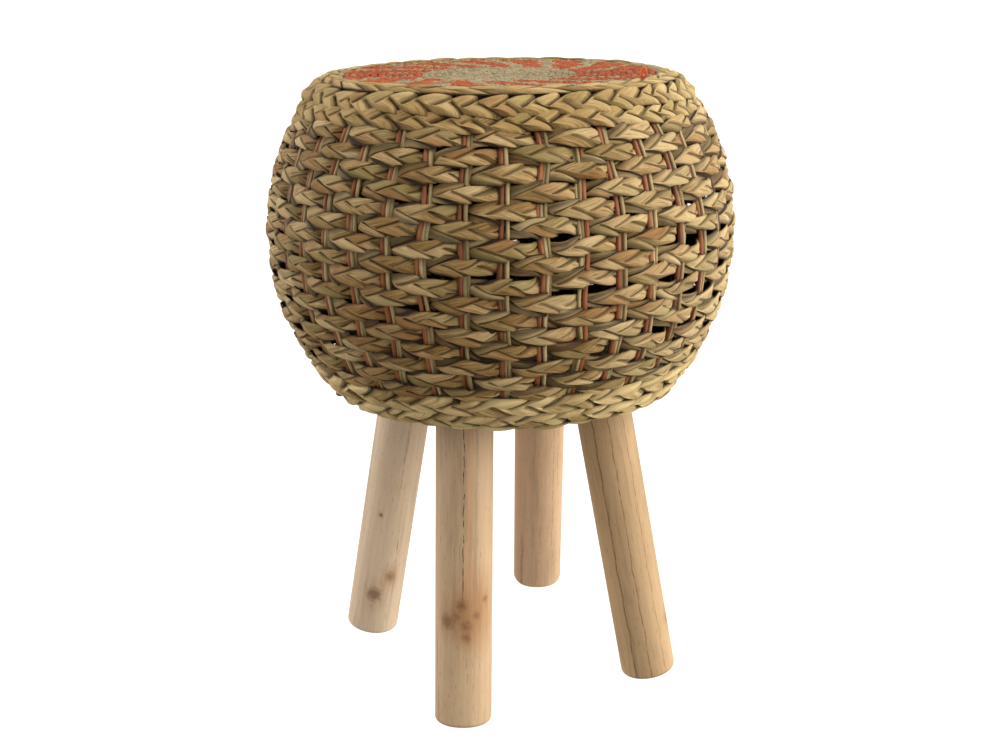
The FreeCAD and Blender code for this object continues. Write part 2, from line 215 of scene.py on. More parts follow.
class Tree:
    """Builder for a node tree, of geometry or of a material."""

    def __init__(self, tree: bpy.types.NodeTree) -> None:
        """Keeps the tree that the nodes go into."""
        self.tree = tree

    def add(self, kind: str, inputs: dict | None = None, **settings: object) -> bpy.types.Node:
        """Adds a node.

        Args:
            kind: Blender's name of the node type.
            inputs: Sockets by name or number, each with a value or the wire that feeds it.
            **settings: Properties of the node itself.

        Returns:
            The new node.
        """
        made = self.tree.nodes.new(kind)
        for name, value in settings.items():
            setattr(made, name, value)
        for name, value in (inputs or {}).items():
            self.feed(made.inputs[name], value)
        return made

    def wire(self, kind: str, inputs: dict | None = None, pick: int | str = 0, **settings: object) -> Wire:
        """Adds a node and gives the output that is picked by number or name."""
        return Wire(self, self.add(kind, inputs, **settings).outputs[pick])

    def feed(self, socket: bpy.types.NodeSocket, value: object) -> None:
        """Links a socket to the wire that feeds it, or sets its value."""
        if isinstance(value, Wire):
            self.tree.links.new(value.socket, socket)
        else:
            socket.default_value = value

    def math(self, operation: str, *values: object) -> Wire:
        """A math node's result from one to three values."""
        return self.wire("ShaderNodeMath", dict(enumerate(values)), operation=operation)

    def vector(self, x: object, y: object, z: object) -> Wire:
        """A vector from three values."""
        return self.wire("ShaderNodeCombineXYZ", {0: x, 1: y, 2: z})

    def split(self, vector: Wire) -> list[Wire]:
        """The three parts of a vector."""
        return [Wire(self, part) for part in self.add("ShaderNodeSeparateXYZ", {0: vector}).outputs]

    def vectors(self, operation: str, inputs: dict) -> Wire:
        """A vector math node's result."""
        return self.wire("ShaderNodeVectorMath", inputs, operation=operation)


class Shape(Tree):
    """Builder for a geometry node tree with named inputs."""

    def __init__(self, name: str, inputs: dict, result: str) -> None:
        """Starts the tree.

        Args:
            name: Name of the tree.
            inputs: Kind of socket of each of its inputs, by name.
            result: Name of the geometry that it gives.
        """
        super().__init__(bpy.data.node_groups.new(name, "GeometryNodeTree"))
        self.result = result
        for label, kind in (*inputs.items(), ("Finish", "Material")):
            self.tree.interface.new_socket(label, in_out="INPUT", socket_type=f"NodeSocket{kind}")
        self.tree.interface.new_socket(result, in_out="OUTPUT", socket_type="NodeSocketGeometry")
        self.given = {item.name: Wire(self, item) for item in self.add("NodeGroupInput").outputs}

    def position(self) -> Wire:
        """The place of each point."""
        return self.wire("GeometryNodeInputPosition")

    def attribute(self, name: str, kind: str = "FLOAT") -> Wire:
        """A named attribute of the geometry."""
        return self.wire("GeometryNodeInputNamedAttribute", {"Name": name}, data_type=kind)

    def moved(self, shape: Wire, place: Wire) -> Wire:
        """Geometry with its points set to new places."""
        return self.wire("GeometryNodeSetPosition", {"Geometry": shape, "Position": place})

    def stored(self, shape: Wire, guide: Guide, value: Wire) -> Wire:
        """Geometry with a number stored on its points."""
        inputs = {"Geometry": shape, "Name": guide.value, "Value": value}
        return self.wire("GeometryNodeStoreNamedAttribute", inputs, data_type="FLOAT", domain="POINT")

    def smooth(self, shape: Wire) -> Wire:
        """Geometry with smooth shading."""
        return self.wire("GeometryNodeSetShadeSmooth", {"Geometry": shape, "Shade Smooth": True})

    def end(self, shape: Wire) -> None:
        """Ends the tree with real faces in the given finish."""
        real = self.wire("GeometryNodeRealizeInstances", {"Geometry": shape})
        done = self.wire("GeometryNodeSetMaterial", {"Geometry": real, "Material": self.given["Finish"]})
        self.add("NodeGroupOutput", {self.result: done})

    def run(self, name: str, source: bpy.types.Object, values: dict) -> bpy.types.Object:
        """Runs the tree on an object and keeps only the plain mesh that it gives.

        Args:
            name: Name of the finished piece.
            source: Object that the nodes start from; it is removed.
            values: The tree's inputs by name.

        Returns:
            The finished piece, at the origin.
        """
        modifier = source.modifiers.new("nodes", "NODES")
        modifier.node_group = self.tree
        items = self.tree.interface.items_tree
        sockets = {item.name: item.identifier for item in items if item.in_out == "INPUT"}
        for label, value in values.items():
            modifier[sockets[label]] = value
        bpy.context.view_layer.update()
        ready = source.evaluated_get(bpy.context.evaluated_depsgraph_get())
        mesh = bpy.data.meshes.new_from_object(ready)
        source.modifiers.remove(modifier)
        old = source.data
        bpy.data.objects.remove(source)
        bpy.data.meshes.remove(old)
        mesh.name = name
        return linked(name, mesh)


def linked(name: str, data: bpy.types.ID) -> bpy.types.Object:
    """A new object in the scene, at the origin."""
    made = bpy.data.objects.new(name, data)
    bpy.context.scene.collection.objects.link(made)
    return made


def mark(mesh: bpy.types.Mesh, name: str, values: np.ndarray) -> None:
    """Puts numbers or vectors on a mesh's points.

    Args:
        mesh: The mesh.
        name: Name of the attribute.
        values: One number or one vector for each point.
    """
    kind, item = ("FLOAT", "value") if values.ndim == 1 else ("FLOAT_VECTOR", "vector")
    mesh.attributes.new(name, kind, "POINT").data.foreach_set(item, values.ravel())


def guide_object(name: str, strands: list[Strand]) -> bpy.types.Object:
    """A mesh of edges for a sweep to follow, with the strands' values on its points.

    Args:
        name: Name of the object.
        strands: Guide lines.

    Returns:
        The new object, linked into the scene.
    """
    edges = []
    start = 0
    for strand in strands:
        count = len(strand.points)
        ids = np.arange(start, start + count)
        pairs = np.stack((ids, np.roll(ids, -1)), axis=1)
        edges.append(pairs if strand.closed else pairs[:-1])
        start += count
    mesh = bpy.data.meshes.new(name)
    mesh.from_pydata(np.concatenate([s.points for s in strands]), np.concatenate(edges).tolist(), [])
    mark(mesh, Guide.FACING.value, np.concatenate([s.facing for s in strands]))
    for guide in (Guide.WIDTH, Guide.ALONG, Guide.TINT, Guide.HUE, Guide.SHADE):
        mark(mesh, guide.value, np.concatenate([s.each(guide) for s in strands]))
    return linked(name, mesh)


def settle(piece: bpy.types.Object, slot: str, *nodes: str) -> None:
    """Rides a piece on the stool and puts it in place of its nodes.

    Args:
        piece: The finished piece.
        slot: Slot of the record that its finish comes from; not used.
        *nodes: Nodes of the part that it stands for.
    """
    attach(piece, BODY)
    if nodes:
        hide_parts(*nodes)
    LOG.info("%s: %d faces", piece.name, len(piece.data.polygons))


class PlaitBand:
    """Geometry nodes that lay a flat plait of lapping facets along a closed guide line."""

    SIZES = ("Half height", "Half depth", "Lean", "Step", "Bulge", "Curl", "Zigzag", "Tip", "Ragged",
             "Tint middle", "Tint spread", "Hue spread")
    COUNTS = ("Columns", "Around")
    NUDGE = 0.001
    FRONT_FROM = -0.01
    FACET_ROOM = 0.92
    # Shifts of the facets along the line: waves on the way round, and size as a part of the line
    SHIFTS = ((7.0, 0.003), (19.0, 0.0013), (31.0, 0.0008))
    LEAN_WAVES = 23.0
    LEAN_WAVER = 0.18
    TIP_TURNS = 0.45
    DOME = 2.4
    DOME_BASE = 0.4
    # Painted shade on a facet's tucked side and along the plait's edges
    TUCKED_PAINTED_SHADE = 0.6
    RIM_PAINTED_SHADE = 0.75
    WELD = 0.00001
    CREASE = 0.6
    # Powers of the way to the plait's edge or to the facet's free side, higher for a later effect
    CURL_POWER = 4.0
    BODY_POWER = 3.0
    ROLL_POWER = 8.0
    TUCKED_POWER = 4.0
    RIM_POWER = 9.0

    def __init__(self) -> None:
        """Builds the tree once."""
        self.shape = Shape("plait_band", {
            "Guides": "Geometry", **dict.fromkeys((*self.SIZES, "Seed"), "Float"),
            **dict.fromkeys((*self.COUNTS, "Facets"), "Int")}, "Plait")
        self.build()

    def build(self) -> None:
        """Fills the tree: a grid whose columns slant along the facets, laid onto the guide line."""
        t = self.shape
        given = t.given
        line = t.wire("GeometryNodeMeshToCurve", {"Mesh": given["Guides"]})
        length = t.wire("GeometryNodeCurveLength", {"Curve": line})
        facets, steps, around, seed = (given[name] for name in ("Facets", "Columns", "Around", "Seed"))
        columns = facets * steps
        grid = t.wire("GeometryNodeMeshGrid", {
            "Size X": 1.0, "Size Y": 1.0, "Vertices X": columns + 1.0, "Vertices Y": around + 1.0})
        x, y, _ = t.split(t.position())
        column = ((x + 0.5) * columns).then("ROUND")
        angle = (y + 0.5 + 0.5 / around) * TAU
        across = angle.then("SINE").then("ARCSINE") * (2.0 / math.pi)
        front = angle.then("COSINE") > self.FRONT_FROM
        lower = across < 0.0
        reach = abs(across)

        # Which facet a vertex belongs to, and its part of the way from the tucked to the free side
        count = column / steps + lower * 0.5 + self.NUDGE
        cell = count.then("FLOOR") % facets
        part = count.then("FRACT") * (steps / (steps - 1.0))
        one, two, three = self.chances(cell, lower, seed)
        four, five, six = self.chances(cell, lower, seed + 0.5)

        # Place along the line, with each facet's last column close to the next facet
        half = steps * 0.5
        block = (column / half + self.NUDGE).then("FLOOR")
        inside = (column - block * half) / (half - 1.0) * self.FACET_ROOM
        way = (block + inside) * 0.5 / facets
        for waves, size in self.SHIFTS:
            way = way + (way * (TAU * waves) + seed * waves).then("SINE") * size
        along = way * length
        # The guide's tint is painted light round the drum and its shade is painted shade where the plait
        # dives
        guides = (Guide.WIDTH, Guide.TINT, Guide.SHADE)
        swell, painted_light_tint, painted_dive_shade = (self.sample(line, guide, along % length)[0] for guide in guides)
        height = given["Half height"] * swell
        waver = (way * (TAU * self.LEAN_WAVES) + seed * 3.0).then("SINE")
        lean = given["Lean"] * (waver * self.LEAN_WAVER + 1.0)
        bow = reach - reach ** self.CURL_POWER * given["Curl"]
        ahead = along + bow * height * lean
        facing, place, run, _ = self.sample(line, Guide.FACING, ahead % length, "FLOAT_VECTOR")

        # Rise up the plait and lift off it
        tip = reach ** self.CURL_POWER * (part - self.TIP_TURNS) * given["Tip"] * (one + 0.5)
        lap = (column / steps * TAU).then("COSINE") * (1.0 - reach) * given["Zigzag"]
        rise = (reach * height + tip) * across.then("SIGN") - lap * height
        body = given["Half depth"] * (1.0 - reach ** self.BODY_POWER)
        lift = given["Step"] * ((part - 0.5) * (two + 0.5))
        dome = reach * (1.0 - reach) * self.DOME + self.DOME_BASE
        lift = lift + part * (1.0 - part) * 4.0 * dome * given["Bulge"]
        lift = lift - part ** self.ROLL_POWER * (given["Step"] * 0.5)
        uneven = three - 0.5 + (four - 0.5) * (reach * 2.0 - 1.0)
        lift = lift + uneven * given["Ragged"]
        depth = (body + lift) * front - body * (1.0 - front)
        out = t.vectors("NORMALIZE", {0: facing})
        up = t.vectors("CROSS_PRODUCT", {0: out, 1: run})
        for direction, distance in ((out, depth), (up, rise)):
            shift = t.vectors("SCALE", {0: direction, "Scale": distance})
            place = t.vectors("ADD", {0: place, 1: shift})

        # Values for the finish, read before the grid is moved
        # Painted shade on the facet's tucked side, along the plait's edges where courses meet and over the
        # whole back, added to the guide's painted shade
        tucked = (1.0 - part) ** self.TUCKED_POWER * self.TUCKED_PAINTED_SHADE
        tucked = tucked + reach ** self.RIM_POWER * self.RIM_PAINTED_SHADE
        from_middle = part * 2.0 - 1.0
        laid = grid
        for guide, value in (
            (Guide.ALONG, reach * (height * given["Lean"]) + cell),
            (Guide.ACROSS, from_middle),
            (Guide.EDGE, abs(from_middle)),
            (Guide.TINT, given["Tint middle"] + (five - 0.5) * given["Tint spread"] + painted_light_tint),
            (Guide.HUE, (six - 0.5) * given["Hue spread"]),
            (Guide.SHADE, painted_dive_shade + (tucked + (1.0 - front))),
        ):
            laid = t.stored(laid, guide, value)
        laid = t.moved(laid, place)
        whole = t.wire("GeometryNodeMergeByDistance", {"Geometry": laid, "Distance": self.WELD})
        bend = t.wire("GeometryNodeInputMeshEdgeAngle")
        crisp = {"Geometry": t.smooth(whole), "Selection": bend > self.CREASE, "Shade Smooth": False}
        t.end(t.wire("GeometryNodeSetShadeSmooth", crisp, domain="EDGE"))

    def chances(self, cell: Wire, lower: Wire, seed: Wire) -> list[Wire]:
        """Three random numbers for each facet.

        Args:
            cell: Number of the facet in its row.
            lower: One in the lower row, else zero.
            seed: Number that they grow from.

        Returns:
            The numbers, from 0 to 1.
        """
        t = self.shape
        where = {"Vector": t.vector(cell, lower, seed)}
        return t.split(t.wire("ShaderNodeTexWhiteNoise", where, 1, noise_dimensions="3D"))

    def sample(self, line: Wire, guide: Guide, length: Wire, kind: str = "FLOAT") -> list[Wire]:
        """A sample of the guide line.

        Args:
            line: The guide line.
            guide: Attribute of the line to read.
            length: Distance along the line.
            kind: Data type of the attribute.

        Returns:
            The value, the place, the direction and the normal.
        """
        t = self.shape
        made = t.add(
            "GeometryNodeSampleCurve", {"Curves": line, "Length": length},
            data_type=kind, mode="LENGTH", use_all_curves=False)
        value = next(item for item in made.inputs if item.name == "Value" and item.enabled)
        t.feed(value, t.attribute(guide.value, kind))
        return [Wire(t, item) for item in made.outputs]

    def lay(
        self, name: str, guide: Strand, plait: Plait, finish: bpy.types.Material, seed: float,
    ) -> bpy.types.Object:
        """Lays a plait as one plain mesh.

        Args:
            name: Name of the finished piece.
            guide: Closed line that it follows; its half width is the plait's swell.
            plait: The plait's own sizes.
            finish: Material of the piece.
            seed: Number that its unevenness grows from.

        Returns:
            The finished piece.
        """
        values = {
            label: getattr(plait, label.lower().replace(" ", "_")) for label in (*self.SIZES, *self.COUNTS)}
        values |= {"Facets": round(guide.along[-1] / plait.spacing), "Seed": seed, "Finish": finish}
        return self.shape.run(name, guide_object(f"{name}_guide", [guide]), values)


class StrandSweep:
    """Geometry nodes that sweep a rod or a cord along each guide line of a mesh."""

    def __init__(self) -> None:
        """Builds the tree once."""
        self.shape = Shape("strand_sweep", {
            "Guides": "Geometry", "Thickness": "Float", "Edge power": "Float", "Section points": "Int",
            "Caps": "Bool"}, "Strands")
        self.build()

    def build(self) -> None:
        """Fills the tree."""
        t = self.shape
        given = t.given
        lines = t.wire("GeometryNodeMeshToCurve", {"Mesh": given["Guides"]})
        facing = t.attribute(Guide.FACING.value, "FLOAT_VECTOR")
        faced = t.wire("GeometryNodeSetCurveNormal", {"Curve": lines, "Normal": facing}, mode="FREE")
        circle = t.wire(
            "GeometryNodeCurvePrimitiveCircle", {"Resolution": given["Section points"], "Radius": 1.0})
        x, y, _ = t.split(t.position())
        thin = abs(x) ** given["Edge power"] * x.then("SIGN") * given["Thickness"]
        section = t.moved(circle, t.vector(thin, y, 0.0))
        swept = t.wire("GeometryNodeCurveToMesh", {
            "Curve": faced, "Profile Curve": t.stored(section, Guide.ACROSS, t.split(t.position())[1]),
            "Scale": t.attribute(Guide.WIDTH.value), "Fill Caps": given["Caps"]})
        t.end(t.smooth(swept))

    def sweep(
        self, name: str, strands: list[Strand], finish: bpy.types.Material,
        thickness: float, section_points: int, section: Section = Section.ROUND,
    ) -> bpy.types.Object:
        """Sweeps strands into one plain mesh.

        Args:
            name: Name of the finished piece.
            strands: Guide lines, all closed or all open.
            finish: Material of the piece.
            thickness: Thickness as a part of the width.
            section_points: Points round the cross-section.
            section: Kind of cross-section.

        Returns:
            The finished piece.
        """
        return self.shape.run(name, guide_object(f"{name}_guides", strands), {
            "Thickness": thickness, "Edge power": section.value, "Section points": section_points,
            "Caps": not strands[0].closed, "Finish": finish})


@dataclass(frozen=True)
class Grain:
    """A noise of a finish: its scale, detail and roughness, and how its scale differs along Z."""

    scale: float
    detail: float = 2.0
    rough: float = 0.5
    along: float = 1.0


class Finish(Tree):
    """Builder for one node material on a Principled surface."""

    def __init__(self, name: str) -> None:
        """Starts the material.

        Args:
            name: Name of the material.
        """
        self.material = bpy.data.materials.new(name)
        self.material.use_nodes = True
        super().__init__(self.material.node_tree)
        self.surface = self.tree.nodes["Principled BSDF"]

    def value(self, guide: Guide) -> Wire:
        """A number that the piece's mesh carries as an attribute."""
        return self.wire("ShaderNodeAttribute", None, "Fac", attribute_name=guide.value)

    def place(self) -> Wire:
        """Object coordinates."""
        return self.wire("ShaderNodeTexCoord", None, "Object")

    def noise(self, where: Wire, grain: Grain) -> Wire:
        """Noise from 0 to 1 at a place."""
        inputs = {"Vector": where, "Scale": grain.scale, "Detail": grain.detail, "Roughness": grain.rough}
        return self.wire("ShaderNodeTexNoise", inputs)

    def drawn(self, x: Wire, y: Wire, z: Wire, grain: Grain) -> Wire:
        """Noise at a place, drawn out along Z."""
        return self.noise(self.vector(x, y, z * grain.along), grain)

    def streaks(self, scales: tuple, grain: Grain) -> Wire:
        """Noise on a strand, at scales along it, across it and from strand to strand."""
        guides = (Guide.ALONG, Guide.ACROSS, Guide.TINT)
        where = (self.value(guide) * scale for guide, scale in zip(guides, scales))
        return self.noise(self.vector(*where), grain)

    def lot(self, tint: Wire, spread: float) -> Wire:
        """A random number for each tint, from 0 to 1."""
        return self.wire("ShaderNodeTexWhiteNoise", {"W": tint * spread}, noise_dimensions="1D")

    def ramp(self, value: Wire, stops: tuple) -> Wire:
        """A colour from a value, by stops of place and colour."""
        made = self.add("ShaderNodeValToRGB", {0: value})
        ramp = made.color_ramp
        while len(ramp.elements) < len(stops):
            ramp.elements.new(1.0)
        for element, (spot, colour) in zip(ramp.elements, stops):
            element.position = spot
            element.color = (*colour, 1.0)
        return Wire(self, made.outputs[0])

    def span(self, value: Wire, low: float, high: float, to_low: float, to_high: float) -> Wire:
        """A value moved from one range to another, kept inside it."""
        return self.wire("ShaderNodeMapRange", {0: value, 1: low, 2: high, 3: to_low, 4: to_high})

    def mix(self, part: Wire, one: object, other: object) -> Wire:
        """Two colours mixed."""
        made = self.add("ShaderNodeMix", data_type="RGBA")
        self.feed(made.inputs[0], part)
        for number, colour in ((6, one), (7, other)):
            self.feed(made.inputs[number], colour if isinstance(colour, Wire) else (*colour, 1.0))
        return Wire(self, made.outputs[2])

    def done(
        self, colour: Wire, roughness: object, height: Wire | None = None, bump: float = 0.3,
        distance: float = 0.0005, specular: float = 0.35,
    ) -> bpy.types.Material:
        """Finishes the surface.

        Args:
            colour: Base colour.
            roughness: Roughness.
            height: Height for the bump, if any.
            bump: Strength of the bump.
            distance: Depth of the bump.
            specular: Specular level, the same all over.

        Returns:
            The material.
        """
        self.feed(self.surface.inputs["Base Color"], colour)
        self.feed(self.surface.inputs["Roughness"], roughness)
        self.surface.inputs["Specular IOR Level"].default_value = specular
        if height is not None:
            lift = self.wire("ShaderNodeBump", {"Strength": bump, "Distance": distance, "Height": height})
            self.feed(self.surface.inputs["Normal"], lift)
        return self.material


@dataclass(frozen=True)
class LeafLook:
    """Dried leaf: its colours, how much its parts show in its tone, painted light and shade at its fold, and
    painted shade at its facet edges and on hidden parts.
    """

    name: str
    deep: tuple = (0.076, 0.038, 0.0105)
    middle: tuple = (0.305, 0.17, 0.051)
    pale: tuple = (0.67, 0.486, 0.242)
    green: tuple = (0.255, 0.202, 0.068)
    brown: tuple = (0.335, 0.151, 0.05)
    # Colour of the painted shade at facet edges and on hidden parts
    painted_shade_colour: tuple = (0.016, 0.0075, 0.003)
    threads: float = 0.8
    # Where facet edges start to take painted shade, and how dark it gets
    painted_edge_start: float = 0.89
    painted_edge_most: float = 0.95
    fibre_scales: tuple = (42.0, 4.5, 31.0)
    fibre: Grain = Grain(1.0, 4.0, 0.62)
    thread_scales: tuple = (90.0, 13.0, 57.0)
    thread: Grain = Grain(1.0, 3.0)
    blotch: Grain = Grain(95.0, 3.0, 0.6)
    tint_share: float = 0.62
    fibre_share: float = 0.75
    fibre_base: float = 0.17
    blotch_share: float = 0.3
    thread_share: float = 0.7
    thread_dark: float = 0.25
    thread_gap: tuple = (0.36, 0.43)
    fold_lot: float = 613.0
    fold_reach: float = 0.7
    # Painted light on one side of a leaf's fold and a painted shade line along it
    painted_fold_light: float = 0.12
    painted_fold_shade: tuple = (0.02, 0.07, 0.22, 0.08)
    # Random strength of each facet edge's painted shade
    edge_lot: float = 977.0
    painted_edge_range: tuple = (0.2, 0.9, 0.12)
    greenest: float = 0.55
    brownest: float = 0.5
    # Painted shade on the parts that the shade attribute marks
    hidden_painted_shade: float = 0.9
    bump: float = 0.5
    bump_depth: float = 0.0007
    specular: float = 0.15

    def finish(self) -> bpy.types.Material:
        """The leaf's material: facets in their own tones, fine fibres, painted light and shade at a fold
        along each facet, and painted shade in the gaps.

        Returns:
            The new material.
        """
        f = Finish(self.name)
        across, tint, hue = (f.value(guide) for guide in (Guide.ACROSS, Guide.TINT, Guide.HUE))
        fibre = f.streaks(self.fibre_scales, self.fibre)
        thread = f.streaks(self.thread_scales, self.thread)
        blotch = f.noise(f.place(), self.blotch)
        fold = f.span(f.lot(tint, self.fold_lot), 0.0, 1.0, -self.fold_reach, self.fold_reach)
        from_fold = across - fold
        tone = tint * self.tint_share + (fibre - self.fibre_base) * self.fibre_share
        tone = tone + (blotch - 0.5) * self.blotch_share
        tone = tone + (thread - 0.5) * (self.thread_share * self.threads)
        tone = tone - f.span(thread, *self.thread_gap, self.thread_dark * self.threads, 0.0)
        # Painted light on one side of the fold, and a painted shade line along the fold
        tone = tone + (from_fold > 0.0) * self.painted_fold_light
        tone = tone - f.span(abs(from_fold), *self.painted_fold_shade)
        colour = f.ramp(tone, ((0.06, self.deep), (0.5, self.middle), (0.95, self.pale)))
        colour = f.mix(f.span(hue, 0.1, 0.5, 0.0, self.greenest), colour, self.green)
        colour = f.mix(f.span(hue, -0.24, -0.5, 0.0, self.brownest), colour, self.brown)
        # Painted shade over facet edges, and over the parts that the shade attribute marks as diving, tucked,
        # at the plait's edges or on the back
        edge = f.span(f.value(Guide.EDGE), self.painted_edge_start, 1.0, 0.0, 1.0)
        edge = edge * f.span(f.lot(tint, self.edge_lot), *self.painted_edge_range, self.painted_edge_most)
        hidden = f.span(f.value(Guide.SHADE), 0.1, 1.0, 0.0, self.hidden_painted_shade)
        colour = f.mix(hidden, f.mix(edge, colour, self.painted_shade_colour), self.painted_shade_colour)
        height = fibre * 0.6 + thread * 0.4 - abs(from_fold) * 0.8
        roughness = f.span(fibre, 0.3, 0.7, 0.5, 0.7)
        return f.done(colour, roughness, height, self.bump, self.bump_depth, self.specular)


@dataclass(frozen=True)
class RodLook:
    """Round stake or strand: three tones and the ridges along it."""

    name: str
    deep: tuple
    middle: tuple
    pale: tuple
    ridges: float
    roughness: float
    streak_scale: float = 55.0
    strand_scale: float = 40.0
    streak: Grain = Grain(1.0, 3.0, 0.6)
    streak_base: float = 0.22
    streak_share: float = 1.05
    tint_share: float = 0.45
    patch: Grain = Grain(130.0)
    patch_base: float = 0.4
    patch_share: float = 0.4

    def finish(self) -> bpy.types.Material:
        """The rod's material, streaked along its length.

        Returns:
            The new material.
        """
        f = Finish(self.name)
        streak = f.streaks((self.streak_scale, self.ridges, self.strand_scale), self.streak)
        patch = f.noise(f.place(), self.patch)
        tone = (streak - self.streak_base) * self.streak_share + f.value(Guide.TINT) * self.tint_share
        tone = tone + (patch - self.patch_base) * self.patch_share
        colour = f.ramp(tone, ((0.2, self.deep), (0.5, self.middle), (0.85, self.pale)))
        return f.done(colour, self.roughness, streak, 0.6, 0.0006)


@dataclass(frozen=True)
class Drum:
    """Places on the drum that its pieces share."""

    belly_z: float = 0.33775
    stake_ball: float = 0.1618
    braid_ball: float = 0.1695
    pairs: int = 40
    courses: int = 16
    top_latitude: float = 32.21
    course_step: float = 3.964

    def on_ball(self, radius: np.ndarray, turn: np.ndarray, latitude: np.ndarray) -> np.ndarray:
        """Points at a distance from the middle of the drum.

        Args:
            radius: Distance from the middle.
            turn: Turn round the axis, radians.
            latitude: Angle above the belly, radians.

        Returns:
            One point for each turn.
        """
        return polar(radius * np.cos(latitude), turn, self.belly_z + radius * np.sin(latitude))

    def outward(self, turn: np.ndarray, latitude: np.ndarray) -> np.ndarray:
        """Directions out of the drum at those turns and latitudes."""
        return polar(np.cos(latitude), turn, np.sin(latitude))


@dataclass(frozen=True)
class Slack:
    """A slit between a course and the one below it, where the weave lies open."""

    turn: float
    below: int
    opening: float
    reach: float


@dataclass
class WallWeave:
    """The wall: sixteen seagrass plaits that pass the stakes outside and inside by turns."""

    drum: Drum
    band: PlaitBand
    look: LeafLook = LeafLook("seagrass_leaf")
    plait: Plait = Plait(
        spacing=0.0230, half_height=0.0060, half_depth=0.0013, lean=3.3, step=0.0011, bulge=0.0005,
        zigzag=0.3, tip=0.0014, ragged=0.0008, tint_middle=0.61, tint_spread=0.72, hue_spread=1.05)
    points: int = 640
    middle: float = 0.0008
    swing: float = 0.0034
    crown: float = 0.0005
    dip: float = 0.0075
    wider_under: float = 0.32
    uneven: float = 0.06
    drift: float = 0.0009
    drift_step: float = 0.35
    wander: float = 0.0004
    ripple: float = 0.0003
    # More of the painted light round the drum on the lower courses
    painted_light_low: float = 1.1
    slimmer: float = 34.0
    slimmest: float = 0.28
    snug: float = 0.13
    snug_turn: float = 107.4
    # Painted shade where the plait dives inside the stakes: its strength, where it starts and its most
    painted_dive_shade: float = 0.85
    painted_dive_shade_start: float = 0.05
    painted_dive_shade_most: float = 0.8
    seed: int = 1605
    slack: tuple = (
        Slack(-22.0, 5, 0.0030, 0.020), Slack(-23.0, 7, 0.0060, 0.022), Slack(-31.0, 9, 0.0066, 0.011),
        Slack(-20.0, 10, 0.0056, 0.021), Slack(-30.4, 12, 0.0052, 0.013), Slack(-58.7, 6, 0.0042, 0.009),
        Slack(-66.0, 6, 0.0036, 0.007), Slack(-54.5, 9, 0.0046, 0.013), Slack(-49.5, 13, 0.0036, 0.012),
        Slack(-65.8, 8, 0.0038, 0.008), Slack(-75.2, 8, 0.0034, 0.008), Slack(-83.6, 8, 0.0030, 0.009),
        Slack(-93.6, 10, 0.0032, 0.009), Slack(-74.0, 13, 0.0036, 0.009), Slack(-66.0, 13, 0.0036, 0.008),
        Slack(-82.0, 14, 0.0036, 0.009), Slack(-81.0, 15, 0.0030, 0.008), Slack(-120.0, 8, 0.0024, 0.009),
        Slack(40.0, 8, 0.0040, 0.012), Slack(130.0, 10, 0.0040, 0.012),
    )

    def build(self) -> None:
        """Makes the courses, one piece for each."""
        finish = self.look.finish()
        rng = np.random.default_rng(self.seed)
        drifts = [ring_noise(rng, self.points, (2, 7), self.drift) for _ in range(2)]
        for number in range(1, self.drum.courses + 1):
            line = self.course(number, drifts, rng)
            piece = self.band.lay(f"plait_course_{number:02d}", line, self.plait, finish, float(number))
            settle(piece, "seagrass_plait", f"course_{number:02d}")

    def course(self, number: int, drifts: list[np.ndarray], rng: np.random.Generator) -> Strand:
        """One course's line.

        Args:
            number: Course, from 1 at the top.
            drifts: Two slow waves up and down that the courses share.
            rng: Seeded source of the unevenness.

        Returns:
            The closed line that its plait follows.
        """
        drum = self.drum
        turn = round_turns(self.points)
        ahead = np.cos(drum.pairs / 2 * turn) * (1.0 if number % 2 else -1.0)
        apart = np.arccos(np.clip(-ahead, -1.0, 1.0)) * 2.0 / drum.pairs * drum.stake_ball
        wave = 1.0 - 2.0 * np.exp(-(apart / self.dip) ** 2)
        lift = ring_noise(rng, self.points, (2, 11), self.wander)
        share = self.drift_step * number
        lift = lift + drifts[0] * math.cos(share) + drifts[1] * math.sin(share)
        slim = np.zeros(self.points)
        for spot in self.slack:
            if number in (spot.below, spot.below + 1):
                window = bell(turn, spot.turn, spot.reach / drum.stake_ball) * spot.opening
                lift = lift + window * (0.5 if number == spot.below else -0.5)
                slim = slim + window * self.slimmer
        radius = drum.stake_ball + self.middle + self.swing * wave
        radius = radius + self.crown * np.clip(ahead, 0.0, 1.0) ** 2
        radius = radius + ring_noise(rng, self.points, (3, 30), self.ripple)
        level = math.radians(drum.top_latitude - (number - 0.5) * drum.course_step)
        latitude = level + lift / drum.stake_ball
        swell = 1.0 + self.wider_under * np.clip(-wave, 0.0, 1.0)
        swell = swell + ring_noise(rng, self.points, (8, 44), self.uneven) - np.minimum(slim, self.slimmest)
        swell = swell + self.snug * np.clip(np.cos(turn - math.radians(self.snug_turn)), 0.0, 1.0)
        # Its tint is painted light round the drum, more on the lower courses; its shade is painted shade
        # where it dives inside the stakes
        return Strand(
            points=drum.on_ball(radius, turn, latitude), facing=drum.outward(turn, latitude),
            half_width=swell,
            tint=painted_light_round(turn) * (1.0 + self.painted_light_low * (number / drum.courses - 0.5)),
            shade=np.clip(-self.painted_dive_shade * wave - self.painted_dive_shade_start, 0.0, self.painted_dive_shade_most), closed=True)


